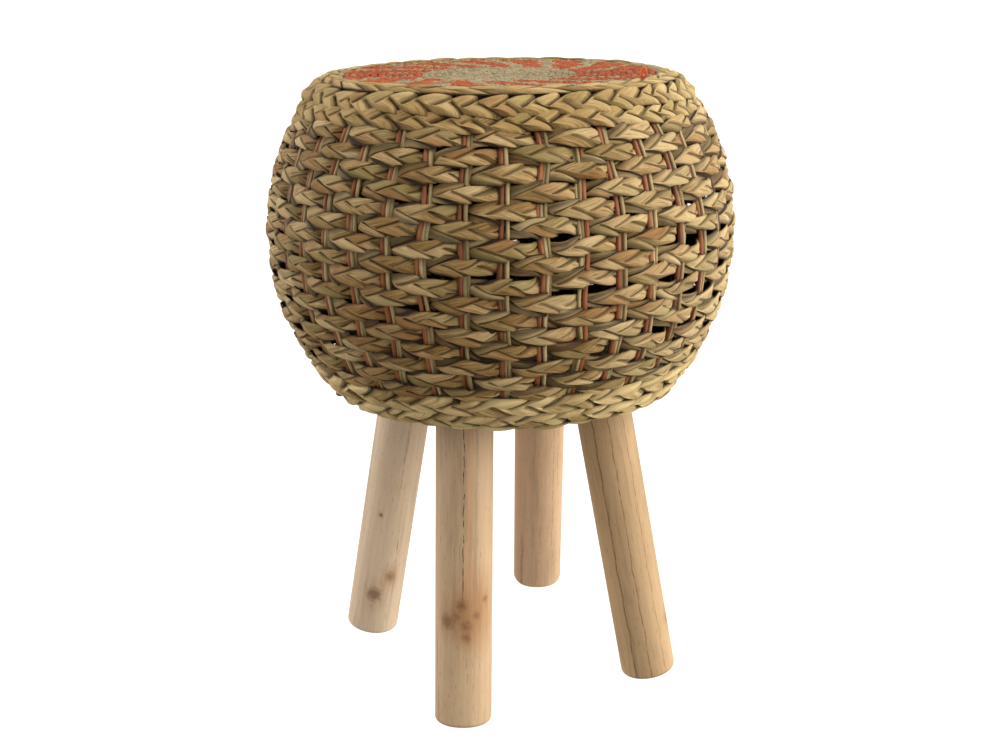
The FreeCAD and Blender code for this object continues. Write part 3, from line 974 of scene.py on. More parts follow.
@dataclass
class Stakes:
    """The stakes: a dyed rod and a plain rush strand of two plies side by side at each place."""

    drum: Drum
    sweep: StrandSweep
    dyed_radius: float = 0.0018
    rush_radius: float = 0.0013
    low_z: float = 0.240
    high_z: float = 0.430
    aside: float = 0.0019
    twist_radius: float = 0.0012
    swapped: tuple = (3, 8, 15, 19, 24, 34, 39)
    # Painted shade on the dyed rods where the painted light round the drum is strongest
    painted_rod_shade: float = 0.58
    out: float = 0.0006
    sideways: float = 0.0006
    sway_waves: int = 6
    thicker: float = 0.07
    points: int = 64
    seed: int = 403
    dyed_look: RodLook = RodLook(
        "dyed_stake_rod", (0.04, 0.011, 0.004), (0.24, 0.071, 0.02), (0.4, 0.14, 0.05), 3.4, 0.55)
    rush_look: RodLook = RodLook(
        "rush_strand_rod", (0.1, 0.06, 0.022), (0.35, 0.245, 0.1), (0.58, 0.45, 0.235), 8.0, 0.62)

    def build(self) -> None:
        """Makes the dyed stakes and the rush strands, each as one piece."""
        rng = np.random.default_rng(self.seed)
        part = np.linspace(0.0, 1.0, self.points)
        dyed, rush = [], []
        for number in range(self.drum.pairs):
            side = self.aside if number in self.swapped else -self.aside
            sway = sum(
                rng.normal(0.0, self.sideways) * np.sin(math.pi * wave * part)
                for wave in range(1, self.sway_waves + 1))
            # The dyed rods take painted shade where the painted light round the drum is strongest
            painted_rod_shade_tint = -self.painted_rod_shade * float(painted_light_round(np.array(TAU * number / self.drum.pairs)))
            dyed.append(self.rod(number, self.dyed_radius, side + sway, 0.0 * sway, painted_rod_shade_tint, rng))
            twist = np.linspace(0.0, rng.uniform(3.0, 9.0), self.points) + rng.uniform(0.0, TAU)
            for ply in (-self.twist_radius, self.twist_radius):
                aside = -side + sway + ply * np.cos(twist)
                rush.append(self.rod(number, self.rush_radius, aside, ply * np.sin(twist), 0.0, rng))
        for name, rods, look, slot, node in (
            ("dyed_rods", dyed, self.dyed_look, "dyed_stake", "dyed_stakes"),
            ("rush_rods", rush, self.rush_look, "rush_strand", "rush_strands"),
        ):
            settle(self.sweep.sweep(name, rods, look.finish(), thickness=1.0, section_points=8), slot, node)

    def rod(
        self, number: int, radius: float, aside: np.ndarray, out: np.ndarray, painted_light: float,
        rng: np.random.Generator,
    ) -> Strand:
        """One rod up the wall.

        Args:
            number: Its place round the drum.
            radius: Half its thickness.
            aside: How far it lies to one side of its place, at each point.
            out: How far it lies outside its place, at each point.
            painted_light: Painted light added to its tint, painted shade where below zero.
            rng: Seeded source of its unevenness.

        Returns:
            The open strand.
        """
        drum = self.drum
        low, high = (math.asin((z - drum.belly_z) / drum.stake_ball) for z in (self.low_z, self.high_z))
        latitude = np.linspace(low, high, self.points)
        part = np.linspace(0.0, 1.0, self.points)
        turn = TAU * number / drum.pairs + aside / (drum.stake_ball * np.cos(latitude))
        return Strand(
            points=drum.on_ball(drum.stake_ball + self.out + out, turn, latitude),
            facing=drum.outward(turn, latitude),
            half_width=radius * (1.0 + self.thicker * np.sin(TAU * part * 3.0 + rng.uniform(0.0, TAU))),
            tint=rng.uniform(0.2, 0.8) + painted_light)


@dataclass(frozen=True)
class Ridge:
    """One plait of a braided edge: where it runs, how far up it faces and how it is made."""

    radius: float
    height: float
    facing: float
    plait: Plait


@dataclass
class EdgeBraid:
    """A chunky straw edge of the drum, made of plaits that lie side by side."""

    drum: Drum
    band: PlaitBand
    look: LeafLook
    name: str
    node: str
    ridges: tuple
    seed: int
    points: int = 420
    uneven_radius: float = 0.0004
    uneven_height: float = 0.0005
    uneven_swell: float = 0.04
    # Strength of the painted light round the drum in the edge's tint
    painted_light: float = 0.76

    def build(self) -> None:
        """Makes the edge's plaits, one piece for each."""
        rng = np.random.default_rng(self.seed)
        finish = self.look.finish()
        turn = round_turns(self.points)
        for number, ridge in enumerate(self.ridges, 1):
            radius = ridge.radius + ring_noise(rng, self.points, (2, 9), self.uneven_radius)
            height = ridge.height + ring_noise(rng, self.points, (2, 9), self.uneven_height)
            # Its tint is painted light round the drum
            line = Strand(
                points=polar(radius, turn, height),
                facing=self.drum.outward(turn, np.full(self.points, math.radians(ridge.facing))),
                half_width=1.0 + ring_noise(rng, self.points, (8, 44), self.uneven_swell),
                tint=self.painted_light * painted_light_round(turn), closed=True)
            name = f"{self.name}_{number}"
            piece = self.band.lay(name, line, ridge.plait, finish, float(self.seed + number))
            settle(piece, "straw_braid", *([self.node] if number == 1 else []))


STRAW = LeafLook(
    "straw_leaf", deep=(0.11, 0.062, 0.021), middle=(0.39, 0.24, 0.081), pale=(0.66, 0.485, 0.228),
    green=(0.35, 0.268, 0.09), brown=(0.40, 0.187, 0.065), threads=0.7, painted_edge_start=0.8, painted_edge_most=1.6,
)


def rim_braid(drum: Drum, band: PlaitBand) -> EdgeBraid:
    """The rim: a large plait outside, a lower one under it and a slim one of lying leaves along the crest."""
    big = Plait(spacing=0.0190, half_height=0.0084, half_depth=0.0020, lean=1.9, step=0.0018, bulge=0.0020,
                curl=0.3, zigzag=0.3, tip=0.0032, tint_middle=0.58, tint_spread=0.42)
    low = Plait(spacing=0.0200, half_height=0.0074, half_depth=0.0018, lean=2.4, step=0.0018, bulge=0.0018,
                curl=0.3, zigzag=0.3, tip=0.0026, tint_middle=0.56)
    slim = Plait(spacing=0.0225, half_height=0.0070, half_depth=0.0015, lean=3.0, step=0.0012, bulge=0.0012,
                 tip=0.0012, ragged=0.0008, tint_middle=0.54)
    return EdgeBraid(drum, band, STRAW, "rim_edge_plait", "rim_braid", (
        Ridge(0.1302, 0.4390, 46.0, big),
        Ridge(0.1366, 0.4296, 40.0, low),
        Ridge(0.1188, 0.4468, 80.0, slim),
    ), seed=77)


def base_braid(drum: Drum, band: PlaitBand) -> EdgeBraid:
    """The base: two puffy plaits outside and one along the underside."""
    large = Plait(spacing=0.0215, half_height=0.0088, half_depth=0.0019, lean=2.2, step=0.0027, bulge=0.0018,
                  curl=0.3, zigzag=0.3, tip=0.0036, ragged=0.0016, tint_middle=0.98, tint_spread=1.5,
                  hue_spread=0.75)
    puffy = replace(
        large, spacing=0.0198, half_height=0.0080, lean=2.0, step=0.0025, tip=0.0032, ragged=0.0014)
    look = replace(STRAW, name="base_straw_leaf", pale=(0.76, 0.56, 0.262), painted_edge_start=0.79, painted_edge_most=2.0)
    return EdgeBraid(drum, band, look, "base_edge_plait", "base_braid", (
        Ridge(0.1385, 0.2470, -33.0, large),
        Ridge(0.1296, 0.2346, -42.0, puffy),
        Ridge(0.1204, 0.2282, -78.0, puffy),
    ), seed=91)


@dataclass
class LooseEnds:
    """Short ends of leaf that stand out of the weave, more of them on the worn right side."""

    drum: Drum
    sweep: StrandSweep
    count: int = 22
    points: int = 8
    worn_share: float = 0.8
    worn_turn: float = 16.0
    worn_spread: float = 14.0
    latitudes: tuple = (-30.0, 40.0)
    lengths: tuple = (0.006, 0.013)
    root_depth: float = 0.004
    half_width: float = 0.0005
    thinner: float = 0.7
    seed: int = 33
    look: RodLook = RodLook(
        "loose_leaf_end", (0.16, 0.09, 0.035), (0.42, 0.285, 0.12), (0.66, 0.5, 0.26), 2.0, 0.6)

    def build(self) -> None:
        """Makes the ends as one piece."""
        rng = np.random.default_rng(self.seed)
        ends = [self.end(rng) for _ in range(self.count)]
        piece = self.sweep.sweep("loose_ends", ends, self.look.finish(), thickness=0.4, section_points=6)
        settle(piece, "straw_braid")

    def end(self, rng: np.random.Generator) -> Strand:
        """One end, bent out of the wall.

        Args:
            rng: Seeded source of its place and its shape.

        Returns:
            The open strand.
        """
        ball = self.drum.braid_ball
        worn = rng.random() < self.worn_share
        turn = math.radians(rng.normal(self.worn_turn, self.worn_spread)) if worn else rng.uniform(0.0, TAU)
        latitude = math.radians(rng.uniform(*self.latitudes))
        part = np.linspace(0.0, 1.0, self.points)
        length = rng.uniform(*self.lengths)
        out = rng.uniform(0.25, 0.5) * length * part ** 1.5
        turns = turn + rng.choice((-1.0, 1.0)) * length * part / ball
        latitudes = latitude + rng.uniform(-0.6, 0.6) * length * part / ball
        return Strand(
            points=self.drum.on_ball(ball - self.root_depth + out, turns, latitudes),
            facing=self.drum.outward(turns, latitudes),
            half_width=self.half_width * (1.0 - self.thinner * part), tint=rng.uniform(0.3, 0.9))


@dataclass
class SeatMat:
    """The seat: a rush coil of two cords side by side, sewn over with natural and orange stitches."""

    sweep: StrandSweep
    outer: float = 0.1128
    inner: float = 0.0035
    pitch: float = 0.010
    half_width: float = 0.0026
    half_height: float = 0.0045
    middle_z: float = 0.4424
    rise: float = 0.0014
    cord_step: float = 0.0032
    cord_bumps: float = 0.00012
    stitch_step: float = 0.0030
    stitch_slant: float = 11.0
    stitch_band: float = 0.0023
    stitch_lift: float = 0.0002
    rays: int = 16
    ray_inner: float = 0.054
    ray_outer: float = 0.1085
    ray_share: float = 0.62
    ray_ragged: float = 0.07
    merged: float = 0.34
    merged_reach: float = 30.0
    merged_turn: float = 17.4
    ray_turn: float = 7.0
    ray_swirl: float = 400.0
    swirl_radius: float = 0.097
    loop_turn: float = -4.2
    loop_radius: float = 0.1053
    loop_height: float = 0.0066
    loop_half: float = 0.0018
    loop_root: float = 0.001
    loop_width: float = 0.0010
    loop_points: int = 12
    seed: int = 58
    mottle: Grain = Grain(130.0, 3.0, 0.6)
    mottle_share: float = 0.8
    tint_share: float = 0.2
    speck: Grain = Grain(420.0)
    specked: tuple = (0.6, 0.68, 0.0, 0.5)
    fuzz: Grain = Grain(900.0)
    natural: tuple = (
        (0.2, (0.16, 0.115, 0.056)), (0.5, (0.3, 0.235, 0.122)), (0.8, (0.42, 0.345, 0.195)))
    orange: tuple = (
        (0.2, (0.15, 0.027, 0.007)), (0.5, (0.355, 0.07, 0.0145)), (0.85, (0.52, 0.13, 0.03)))
    loop_look: RodLook = RodLook(
        "raised_stitch_raffia", (0.42, 0.05, 0.012), (0.72, 0.11, 0.022), (0.85, 0.19, 0.05), 2.0, 0.6)

    def build(self) -> None:
        """Makes the cords, the stitches and the raised stitch, each as one piece."""
        rng = np.random.default_rng(self.seed)
        cords = [self.cord(start, rng) for start in (0.0, math.pi)]
        core = self.sweep.sweep(
            "mat_cords", cords, self.finish("mat_cord_rush"), self.half_height / self.half_width,
            section_points=12, section=Section.FLAT)
        settle(core, "rush_mat", "seat_mat")
        marks = self.stitch_marks(cords, rng)
        settle(StitchRow().sew("mat_stitches", marks, self.finish("mat_stitch_raffia"), self), "rush_mat")
        loop = self.sweep.sweep(
            "raised_stitch", [self.raised_stitch()], self.loop_look.finish(), thickness=0.6, section_points=6)
        settle(loop, "rush_mat")

    def raised_stitch(self) -> Strand:
        """The one stitch that has pulled up into a loop."""
        part = np.linspace(0.0, math.pi, self.loop_points)
        turn = math.radians(self.loop_turn)
        radius = self.loop_radius + self.loop_half * np.cos(part)
        height = self.height(radius) + self.half_height - self.loop_root + self.loop_height * np.sin(part)
        return Strand(
            points=polar(radius, np.full(len(part), turn), height),
            facing=np.tile((math.sin(turn), -math.cos(turn), 0.0), (len(part), 1)),
            half_width=self.loop_width, tint=0.5)

    def height(self, radius: np.ndarray) -> np.ndarray:
        """Height of a cord's middle at a distance from the mat's middle."""
        return self.middle_z + self.rise * (radius / self.outer) ** 2

    def cord(self, start: float, rng: np.random.Generator) -> Strand:
        """One of the two cords of the coil.

        Args:
            start: Turn of its outer end, radians.
            rng: Seeded source of its unevenness.

        Returns:
            The open strand.
        """
        fine = np.linspace(0.0, (self.outer - self.inner) / self.pitch * TAU, 4000)
        radius = self.outer - self.pitch * fine / TAU
        length = np.concatenate(([0.0], np.cumsum(radius[1:] * np.diff(fine))))
        count = int(length[-1] / self.cord_step)
        angle = np.interp(np.linspace(0.0, length[-1], count), length, fine)
        radius = self.outer - self.pitch * angle / TAU
        bumps = rng.normal(0.0, self.cord_bumps, count)
        points = polar(radius, angle + start, self.height(radius) + bumps)
        return Strand(
            points=points, facing=np.tile((0.0, 0.0, 1.0), (count, 1)), half_width=self.half_width,
            tint=rng.uniform(0.25, 0.75, count), hue=self.dye(points, rng))

    def dye(self, points: np.ndarray, rng: np.random.Generator) -> np.ndarray:
        """How orange the mat is at each point, by the rays of its pattern.

        Args:
            points: Places on the mat.
            rng: Seeded source of the rays' ragged edges.

        Returns:
            One where a ray passes, else zero.
        """
        radius = np.hypot(points[:, 0], points[:, 1])
        turn = np.degrees(np.arctan2(points[:, 1], points[:, 0]))
        aside = (turn - self.merged_turn + 90.0) % 180.0 - 90.0
        share = self.ray_share + self.merged * np.exp(-(aside / self.merged_reach) ** 2)
        turn = turn - self.ray_turn - self.ray_swirl * (radius - self.swirl_radius)
        part = (turn * self.rays / 360.0 + 0.5) % 1.0
        ragged = rng.normal(0.0, self.ray_ragged, len(points))
        inside = np.abs(part - 0.5) < share / 2.0 + ragged
        return (inside & (radius > self.ray_inner) & (radius < self.ray_outer)).astype(float)

    def stitch_marks(self, cords: list[Strand], rng: np.random.Generator) -> dict:
        """Places of the stitches along the cords.

        Args:
            cords: The coil's cords.
            rng: Seeded source of their unevenness.

        Returns:
            Points, directions and values of the stitches.
        """
        points, runs = [], []
        for cord in cords:
            spots = np.arange(self.stitch_step, cord.along[-1], self.stitch_step)
            spots = spots + rng.normal(0.0, 0.1 * self.stitch_step, len(spots))
            place, ahead = (
                np.stack([np.interp(at, cord.along, cord.points[:, axis]) for axis in range(3)], axis=-1)
                for at in (spots, spots + 0.001))
            points.append(place)
            runs.append(unit((ahead - place) * (1.0, 1.0, 0.0)))
        points, runs = np.concatenate(points), np.concatenate(runs)
        count = len(points)
        slant = np.radians(rng.normal(self.stitch_slant, 5.0, count))[:, None]
        aside = np.stack((-runs[:, 1], runs[:, 0], np.zeros(count)), axis=-1)
        return {
            "points": points, "run": runs * np.cos(slant) + aside * np.sin(slant),
            "tint": rng.uniform(0.0, 1.0, count), "hue": self.dye(points, rng),
            "size": rng.uniform(0.96, 1.04, count),
        }

    def finish(self, name: str) -> bpy.types.Material:
        """The mat's material: dry rush, and orange where the rays pass.

        Args:
            name: Name of the material.

        Returns:
            The new material.
        """
        f = Finish(name)
        mottle = f.noise(f.place(), self.mottle)
        specks = f.span(f.noise(f.place(), self.speck), *self.specked)
        tone = f.value(Guide.TINT) * self.tint_share + mottle * self.mottle_share - specks
        dyed = f.span(f.value(Guide.HUE), 0.3, 0.7, 0.0, 1.0)
        colour = f.mix(dyed, f.ramp(tone, self.natural), f.ramp(tone, self.orange))
        return f.done(colour, 0.68, f.noise(f.place(), self.fuzz), 0.12, 0.0003)


class StitchRow:
    """Geometry nodes that set one sewn loop over a cord at each marked point."""

    THICKNESS = 0.2

    def __init__(self) -> None:
        """Builds the tree."""
        self.shape = Shape("stitch_row", {
            "Marks": "Geometry", "Reach": "Float", "Crown": "Float", "Band": "Float"}, "Stitches")
        self.build()

    def build(self) -> None:
        """Fills the tree."""
        t = self.shape
        given = t.given
        arc = t.wire(
            "GeometryNodeCurveArc", {"Resolution": 6, "Radius": 1.0, "Sweep Angle": math.pi}, mode="RADIUS")
        x, y, _ = t.split(t.position())
        crown = abs(y) ** Section.FLAT.value * given["Crown"]
        over = t.moved(arc, t.vector(0.0, x * given["Reach"], crown))
        flat = t.wire("GeometryNodeCurvePrimitiveCircle", {"Resolution": 4, "Radius": 1.0})
        band = t.moved(flat, t.vector(x * (given["Band"] * self.THICKNESS), y * given["Band"], 0.0))
        faced = t.wire("GeometryNodeSetCurveNormal", {"Curve": over, "Normal": t.position()}, mode="FREE")
        loop = t.wire("GeometryNodeCurveToMesh", {"Curve": faced, "Profile Curve": band, "Fill Caps": True})
        turn = t.wire("FunctionNodeAxesToRotation", {
            "Primary Axis": (0.0, 0.0, 1.0), "Secondary Axis": t.attribute("run", "FLOAT_VECTOR")})
        t.end(t.wire("GeometryNodeInstanceOnPoints", {
            "Points": t.wire("GeometryNodeMeshToPoints", {"Mesh": given["Marks"]}),
            "Instance": t.smooth(loop), "Rotation": turn, "Scale": t.attribute("size")}))

    def sew(self, name: str, marks: dict, finish: bpy.types.Material, mat: SeatMat) -> bpy.types.Object:
        """Sews the stitches as one plain mesh.

        Args:
            name: Name of the finished piece.
            marks: Points, directions and values of the stitches.
            finish: Material of the piece.
            mat: The mat that they go over.

        Returns:
            The finished piece.
        """
        mesh = bpy.data.meshes.new(f"{name}_marks")
        mesh.from_pydata(marks["points"], [], [])
        for label in ("run", "tint", "hue", "size"):
            mark(mesh, label, marks[label])
        return self.shape.run(name, linked(f"{name}_marks", mesh), {
            "Reach": mat.half_width, "Crown": mat.half_height + mat.stitch_lift, "Band": mat.stitch_band,
            "Finish": finish})


@dataclass(frozen=True)
class Knot:
    """A knot on a leg: its turn round the leg, its height, its size and how dark its core and halo are."""

    turn: float
    height: float
    size: float
    core: float = 0.85
    halo: float = 0.5
    ringed: bool = False


@dataclass(frozen=True)
class Crack:
    """A drying crack, a grain line or a broad streak along a leg."""

    turn: float
    low: float
    high: float
    width: float = 0.0005
    colour: tuple = (0.05, 0.026, 0.013)
    strength: float = 0.9
    broken: float = 0.9


@dataclass
class PoleLeg:
    """A peeled pole leg of the part, dressed with grain, knots and cracks on its own axis."""

    WARP: ClassVar = Grain(18.0)
    GRAIN: ClassVar = Grain(420.0, 4.0, 0.62, 0.045)
    BROAD: ClassVar = Grain(75.0, 3.0, 0.5, 0.12)
    PORES: ClassVar = Grain(900.0, 2.0, 0.5, 0.16)
    STAIN: ClassVar = Grain(26.0, 3.0, 0.6)
    SMUDGE: ClassVar = Grain(330.0, 4.0, 0.7)
    CRACK_WAVE: ClassVar = Grain(38.0, 3.0)
    DASHES: ClassVar = Grain(130.0, 3.0)
    # Ranges of a noise, and how much of the second colour they bring
    STAINED: ClassVar = (0.52, 0.75, 0.0, 0.4)
    PORED: ClassVar = (0.62, 0.72, 0.0, 0.45)
    DASHED: ClassVar = (0.42, 0.54)
    # How much heights beside a knot count in its halo, and how much more again in its core
    HALO_FLAT: ClassVar = 0.6
    CORE_FLAT: ClassVar = 1.6

    node: str
    foot_turn: float
    tone: tuple
    knots: tuple = ()
    cracks: tuple = ()
    foot_circle: float = 0.116805
    foot_z: float = 0.0015
    splay: float = 10.1
    skew: float = 9.1
    radius: float = 0.0203
    wander: float = 0.006
    knot_colour: tuple = (0.13, 0.062, 0.026)
    crack_end: float = 0.02

    def own_place(self, f: Finish) -> Wire:
        """Coordinates with Z up the leg from its foot and X outwards.

        Args:
            f: Builder of the leg's material.

        Returns:
            The mapped coordinates.
        """
        lean = math.radians(self.foot_turn + self.skew)
        turned = Matrix.Rotation(lean, 3, "Z") @ Matrix.Rotation(-math.radians(self.splay), 3, "Y")
        foot = math.radians(self.foot_turn)
        spot = Vector((self.foot_circle * math.cos(foot), self.foot_circle * math.sin(foot), self.foot_z))
        inputs = {"Vector": f.place(), "Location": spot, "Rotation": turned.to_euler()}
        return f.wire("ShaderNodeMapping", inputs, vector_type="TEXTURE")

    def shaded(self, *cuts: float) -> tuple:
        """The wood's tone times one number, or times one for each of red, green and blue."""
        return tuple(part * cut for part, cut in zip(self.tone, cuts * 3))

    def finish(self) -> bpy.types.Material:
        """The leg's wood.

        Returns:
            The new material.
        """
        f = Finish(f"{self.node}_pole_wood")
        place = self.own_place(f)
        x, y, z = f.split(place)
        warp = (f.noise(place, self.WARP) - 0.5) * self.wander
        grain = f.drawn(x + warp, y - warp, z, self.GRAIN)
        broad = f.drawn(x, y, z, self.BROAD)
        stain = f.noise(place, self.STAIN)
        pores = f.drawn(x, y, z, self.PORES)
        tone = grain * 0.5 + broad * 0.5
        colour = f.ramp(tone, ((0.22, self.shaded(0.52)), (0.48, self.tone), (0.75, self.shaded(1.18))))
        colour = f.mix(f.span(stain, *self.STAINED), colour, self.shaded(0.86, 0.74, 0.62))
        colour = f.mix(f.span(pores, *self.PORED), colour, self.shaded(0.45))
        angle = y.then("ARCTAN2", x)
        height = grain * 0.6 - pores * 0.3
        for knot in self.knots:
            colour = self.with_knot(f, colour, angle, z, knot, grain)
        for crack in self.cracks:
            near = self.near_crack(f, angle, z, crack)
            colour = f.mix(near, colour, crack.colour)
            height = height - near * 0.5
        return f.done(colour, f.span(grain, 0.3, 0.7, 0.5, 0.66), height, 0.35, 0.0006, specular=0.12)

    def aside(self, angle: Wire, turn: float) -> Wire:
        """Distance round the leg's surface from a turn, signed."""
        return (angle - math.radians(turn)).then("WRAP", math.pi, -math.pi) * self.radius

    def with_knot(self, f: Finish, colour: Wire, angle: Wire, z: Wire, knot: Knot, grain: Wire) -> Wire:
        """The wood's colour with one knot drawn over it.

        Args:
            f: Builder of the leg's material.
            colour: Colour so far.
            angle: Turn round the leg.
            z: Height up the leg.
            knot: The knot.
            grain: The wood's grain, which frays the knot's edge.

        Returns:
            The new colour.
        """
        size = knot.size
        across = self.aside(angle, knot.turn)
        upward = (z - knot.height) * self.HALO_FLAT
        far = (across ** 2.0 + upward ** 2.0).then("SQRT") + (grain - 0.5) * (size * 1.2)
        halo = f.span(far, size * 0.5, size * 2.2, knot.halo, 0.0)
        colour = f.mix(halo, colour, self.shaded(0.72, 0.5, 0.34))
        upward = upward * self.CORE_FLAT
        smudge = f.noise(f.vector(across, knot.turn, upward), self.SMUDGE) - 0.5
        apart = (across ** 2.0 + upward ** 2.0).then("SQRT") + smudge * (size * 2.4)
        colour = f.mix(f.span(apart, size * 0.1, size * 1.35, knot.core, 0.0), colour, self.knot_colour)
        if not knot.ringed:
            return colour
        heart = f.span(apart, size * 0.1, size * 0.4, knot.core * 0.6, 0.0)
        return f.mix(heart, colour, self.shaded(0.6))

    def near_crack(self, f: Finish, angle: Wire, z: Wire, crack: Crack) -> Wire:
        """How much of a crack shows at a point, from 0 to 1.

        Args:
            f: Builder of the leg's material.
            angle: Turn round the leg.
            z: Height up the leg.
            crack: The crack.

        Returns:
            One in the crack, else zero.
        """
        wander = (f.noise(f.vector(0.0, 0.0, z), self.CRACK_WAVE) - 0.5) * self.wander
        apart = abs(self.aside(angle, crack.turn) + wander)
        line = f.span(apart, crack.width * 0.4, crack.width, crack.strength, 0.0)
        dashes = f.noise(f.vector(0.0, crack.turn, z), self.DASHES)
        low = f.span(z, crack.low, crack.low + self.crack_end, 0.0, 1.0)
        high = f.span(z, crack.high - self.crack_end, crack.high, 1.0, 0.0)
        return line * f.span(dashes, *self.DASHED, 1.0 - crack.broken, 1.0) * (low * high)


def dress(node: str, finish: bpy.types.Material) -> None:
    """Gives a node that keeps its solids its finish."""
    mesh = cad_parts[node].data
    mesh.materials.clear()
    mesh.materials.append(finish)
    LOG.info("%s: %s", node, finish.name)


def plywood() -> bpy.types.Material:
    """Birch plywood with its grain along X and its plies at the edge."""
    f = Finish("board_plywood")
    ply = 0.003
    along_grain = 0.06
    x, y, z = f.split(f.place())
    grain = f.noise(f.vector(x * along_grain, y, z), Grain(300.0, 4.0, 0.6))
    tone = grain * 0.8 + (z * (TAU / ply)).then("SINE") * 0.08
    colour = f.ramp(tone, ((0.2, (0.3, 0.2, 0.11)), (0.5, (0.5, 0.37, 0.22)), (0.8, (0.62, 0.49, 0.31))))
    return f.done(colour, 0.6, grain, 0.3, 0.0004)


def metal(name: str, colour: tuple, roughness: float) -> bpy.types.Material:
    """Drawn metal with faint scratches.

    Args:
        name: Name of the material.
        colour: Its colour.
        roughness: Its usual roughness.

    Returns:
        The new material.
    """
    f = Finish(name)
    worn = f.noise(f.place(), Grain(700.0, 3.0))
    f.surface.inputs["Metallic"].default_value = 1.0
    shade = f.mix(f.span(worn, 0.4, 0.7, 0.0, 0.5), colour, tuple(0.6 * part for part in colour))
    return f.done(shade, f.span(worn, 0.3, 0.7, roughness - 0.1, roughness + 0.12), worn, 0.1, 0.0002)


@dataclass(frozen=True)
class Lamp:
    """A broad far light: its strength, its turn right of the camera, its rise and its spread."""

    name: str
    strength: float
    turn: float
    rise: float
    spread: float


@dataclass
class Studio:
    """Pale floor, soft light and the photograph's camera."""

    turn: float = 17.4
    distance: float = 1.0064
    height: float = 0.537
    pitch: float = 17.19
    yaw: float = -0.104
    roll: float = -0.678
    focal: float = 1.4054
    sensor: float = 36.0
    floor_half: float = 30.0
    sky_top: float = 0.66
    sky_side: float = 0.50
    sky_below: float = 0.43
    lamp_colour: tuple = (1.0, 0.985, 0.95)
    lamps: tuple = (
        Lamp("studio_key", 5.2, 79.0, 20.0, 75.0),
        Lamp("studio_fill", 2.6, -106.0, 18.0, 60.0),
    )

    def build(self) -> None:
        """Makes the floor, the lights and the camera."""
        scene = bpy.context.scene
        scene.view_settings.view_transform = "Standard"
        self.floor()
        self.sky_light()
        for lamp in self.lamps:
            self.far_light(lamp)
        scene.camera = self.camera()

    def floor(self) -> None:
        """A wide pale floor."""
        half = self.floor_half
        corners = [(-half, -half, 0), (half, -half, 0), (half, half, 0), (-half, half, 0)]
        mesh = bpy.data.meshes.new("studio_floor")
        mesh.from_pydata(corners, [], [(0, 1, 2, 3)])
        floor = linked("studio_floor", mesh)
        floor.visible_diffuse = False
        floor.visible_glossy = False
        f = Finish("floor_paper")
        f.surface.inputs["Emission Color"].default_value = (1.0, 1.0, 1.0, 1.0)
        f.surface.inputs["Emission Strength"].default_value = 1.0
        colour = f.mix(f.noise(f.place(), Grain(40.0)), (0.2, 0.2, 0.2), (0.22, 0.22, 0.22))
        mesh.materials.append(f.done(colour, 0.9, specular=0.1))

    def sky_light(self) -> None:
        """A white surround, dimmer below."""
        world = bpy.data.worlds.new("studio_sky")
        world.use_nodes = True
        t = Tree(world.node_tree)
        upward = t.split(t.wire("ShaderNodeTexCoord", None, "Generated"))[2]
        over = t.wire("ShaderNodeMapRange", {0: upward, 1: 0.0, 2: 1.0, 3: self.sky_side, 4: self.sky_top})
        under = t.wire("ShaderNodeMapRange", {0: upward, 1: -0.5, 2: 0.0, 3: self.sky_below, 4: over})
        sky = world.node_tree.nodes["Background"].inputs
        t.feed(sky["Color"], (1.0, 1.0, 1.0, 1.0))
        t.feed(sky["Strength"], under)
        bpy.context.scene.world = world

    def far_light(self, lamp: Lamp) -> None:
        """Sets one broad far light.

        Args:
            lamp: Where it stands and how strong it is.
        """
        light = bpy.data.lights.new(lamp.name, "SUN")
        light.energy = lamp.strength
        light.angle = math.radians(lamp.spread)
        light.color = self.lamp_colour
        azimuth = math.radians(self.turn + lamp.turn)
        rise = math.radians(lamp.rise)
        towards = Vector((
            math.sin(azimuth) * math.cos(rise), -math.cos(azimuth) * math.cos(rise), math.sin(rise)))
        linked(lamp.name, light).rotation_euler = towards.to_track_quat("Z", "Y").to_euler()

    def camera(self) -> bpy.types.Object:
        """The camera where the photograph was taken from.

        Returns:
            The camera object.
        """
        lens = bpy.data.cameras.new("photo_camera")
        lens.sensor_fit = "HORIZONTAL"
        lens.sensor_width = self.sensor
        lens.lens = self.focal * self.sensor
        pitch, yaw, roll = (math.radians(angle) for angle in (self.pitch, self.yaw, self.roll))
        ahead = Vector((math.sin(yaw) * math.cos(pitch), math.cos(yaw) * math.cos(pitch), -math.sin(pitch)))
        right = Vector((math.cos(yaw), -math.sin(yaw), 0.0))
        above = right.cross(ahead)
        across = right * math.cos(roll) + above * math.sin(roll)
        upward = above * math.cos(roll) - right * math.sin(roll)
        facing = Matrix((across, upward, -ahead)).transposed().to_4x4()
        stand = Matrix.Translation((0.0, -self.distance, self.height)) @ facing
        camera = linked("photo_camera", lens)
        camera.matrix_world = Matrix.Rotation(math.radians(self.turn), 4, "Z") @ stand
        return camera


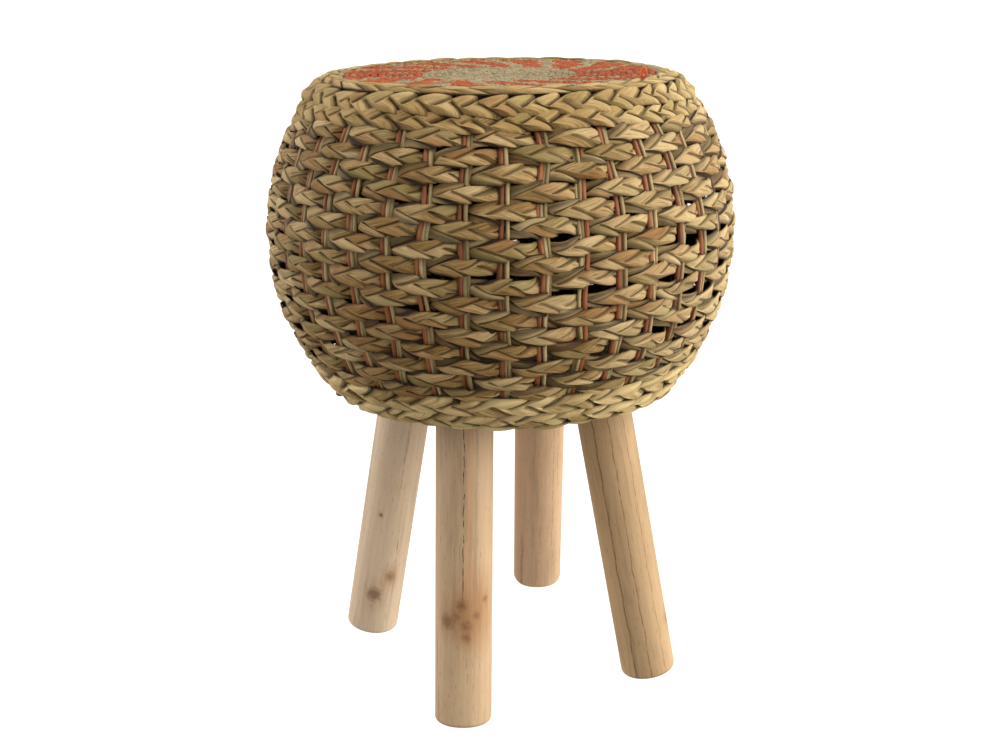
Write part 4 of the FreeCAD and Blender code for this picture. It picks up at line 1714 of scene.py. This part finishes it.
def pole_legs() -> list[PoleLeg]:
    """The four legs with their own tones, knots, cracks and grain lines."""
    grain_line = (0.17, 0.095, 0.043)
    return [
        PoleLeg("leg_front", -88.0, (0.455, 0.312, 0.185), knots=(
            Knot(30.0, 0.0860, 0.0110, 0.0, 0.7), Knot(-27.0, 0.0775, 0.0052, 0.8, 0.45, True),
            Knot(12.0, 0.0750, 0.0042, 0.7, 0.4), Knot(34.0, 0.0825, 0.0030, 0.6, 0.2),
            Knot(13.0, 0.0665, 0.0034, 0.6, 0.5), Knot(3.0, 0.0900, 0.0040, 0.75, 0.5),
            Knot(-6.0, 0.0815, 0.0036, 0.45, 0.4), Knot(55.0, 0.0930, 0.0026, 0.6, 0.3),
        ), cracks=(
            Crack(17.0, 0.088, 0.26, 0.0036, (0.50, 0.26, 0.13), 0.45, 0.0), Crack(6.0, 0.086, 0.26),
            Crack(13.0, 0.030, 0.058), Crack(-58.0, 0.03, 0.075, 0.0007, grain_line, 0.8, 0.2),
            Crack(-52.0, -0.02, 0.035, 0.0010, grain_line, 0.6, 0.4),
        )),
        PoleLeg("leg_right", -3.0, (0.455, 0.3, 0.16), knots=(Knot(2.0, 0.042, 0.0040, 0.5, 0.6),), cracks=(
            Crack(-109.0, -0.02, 0.27, 0.0009, grain_line, 0.75, 0.4),
            Crack(-76.0, -0.02, 0.27, 0.0007, grain_line, 0.65, 0.6),
            Crack(-42.0, -0.02, 0.27, 0.0006, grain_line, 0.55, 0.7),
        )),
        PoleLeg("leg_back", 94.6, (0.53, 0.35, 0.21), cracks=(
            Crack(105.0, -0.04, 0.29, 0.016, (0.3, 0.165, 0.088), 0.6, 0.0),
            Crack(133.0, -0.03, 0.065, 0.0016, (0.26, 0.13, 0.065), 0.7, 0.4),
            Crack(-148.0, 0.02, 0.26, 0.0005, grain_line, 0.5),
            Crack(-135.0, 0.1, 0.26, 0.0005, grain_line, 0.5),
        ), foot_circle=0.128205, splay=12.9, skew=15.5),
        PoleLeg("leg_left", 177.2, (0.585, 0.44, 0.3), knots=(
            Knot(96.0, 0.0362, 0.0056, 0.9, 0.4, True), Knot(128.0, 0.0530, 0.0044, 0.55, 0.6),
            Knot(85.0, 0.106, 0.0016, 0.9, 0.3),
        ), cracks=(
            Crack(134.0, 0.056, 0.1, 0.0006, grain_line, 0.6),
            Crack(98.0, 0.012, 0.032, 0.0006, grain_line, 0.6),
            Crack(120.0, 0.12, 0.26, 0.0005, grain_line, 0.5),
        )),
    ]


def hidden_frame() -> None:
    """Dresses the boards, hoops and screws inside the drum."""
    for finish, names in (
        (plywood(), ("seat_board", "base_board")),
        (metal("hoop_wire", (0.12, 0.115, 0.11), 0.5), ("top_hoop", "base_hoop")),
        (metal("screw_steel", (0.5, 0.46, 0.36), 0.32), ("leg_screws",)),
    ):
        for name in names:
            dress(name, finish)


def main() -> None:
    """Builds the stool's pieces in order and dresses the nodes that stay."""
    logging.basicConfig(level=logging.INFO, format="%(message)s")
    Studio().build()
    drum = Drum()
    sweep = StrandSweep()
    band = PlaitBand()
    WallWeave(drum, band).build()
    Stakes(drum, sweep).build()
    rim_braid(drum, band).build()
    base_braid(drum, band).build()
    LooseEnds(drum, sweep).build()
    SeatMat(sweep).build()
    for leg in pole_legs():
        dress(leg.node, leg.finish())
    hidden_frame()


if __name__ == "__main__":
    main()
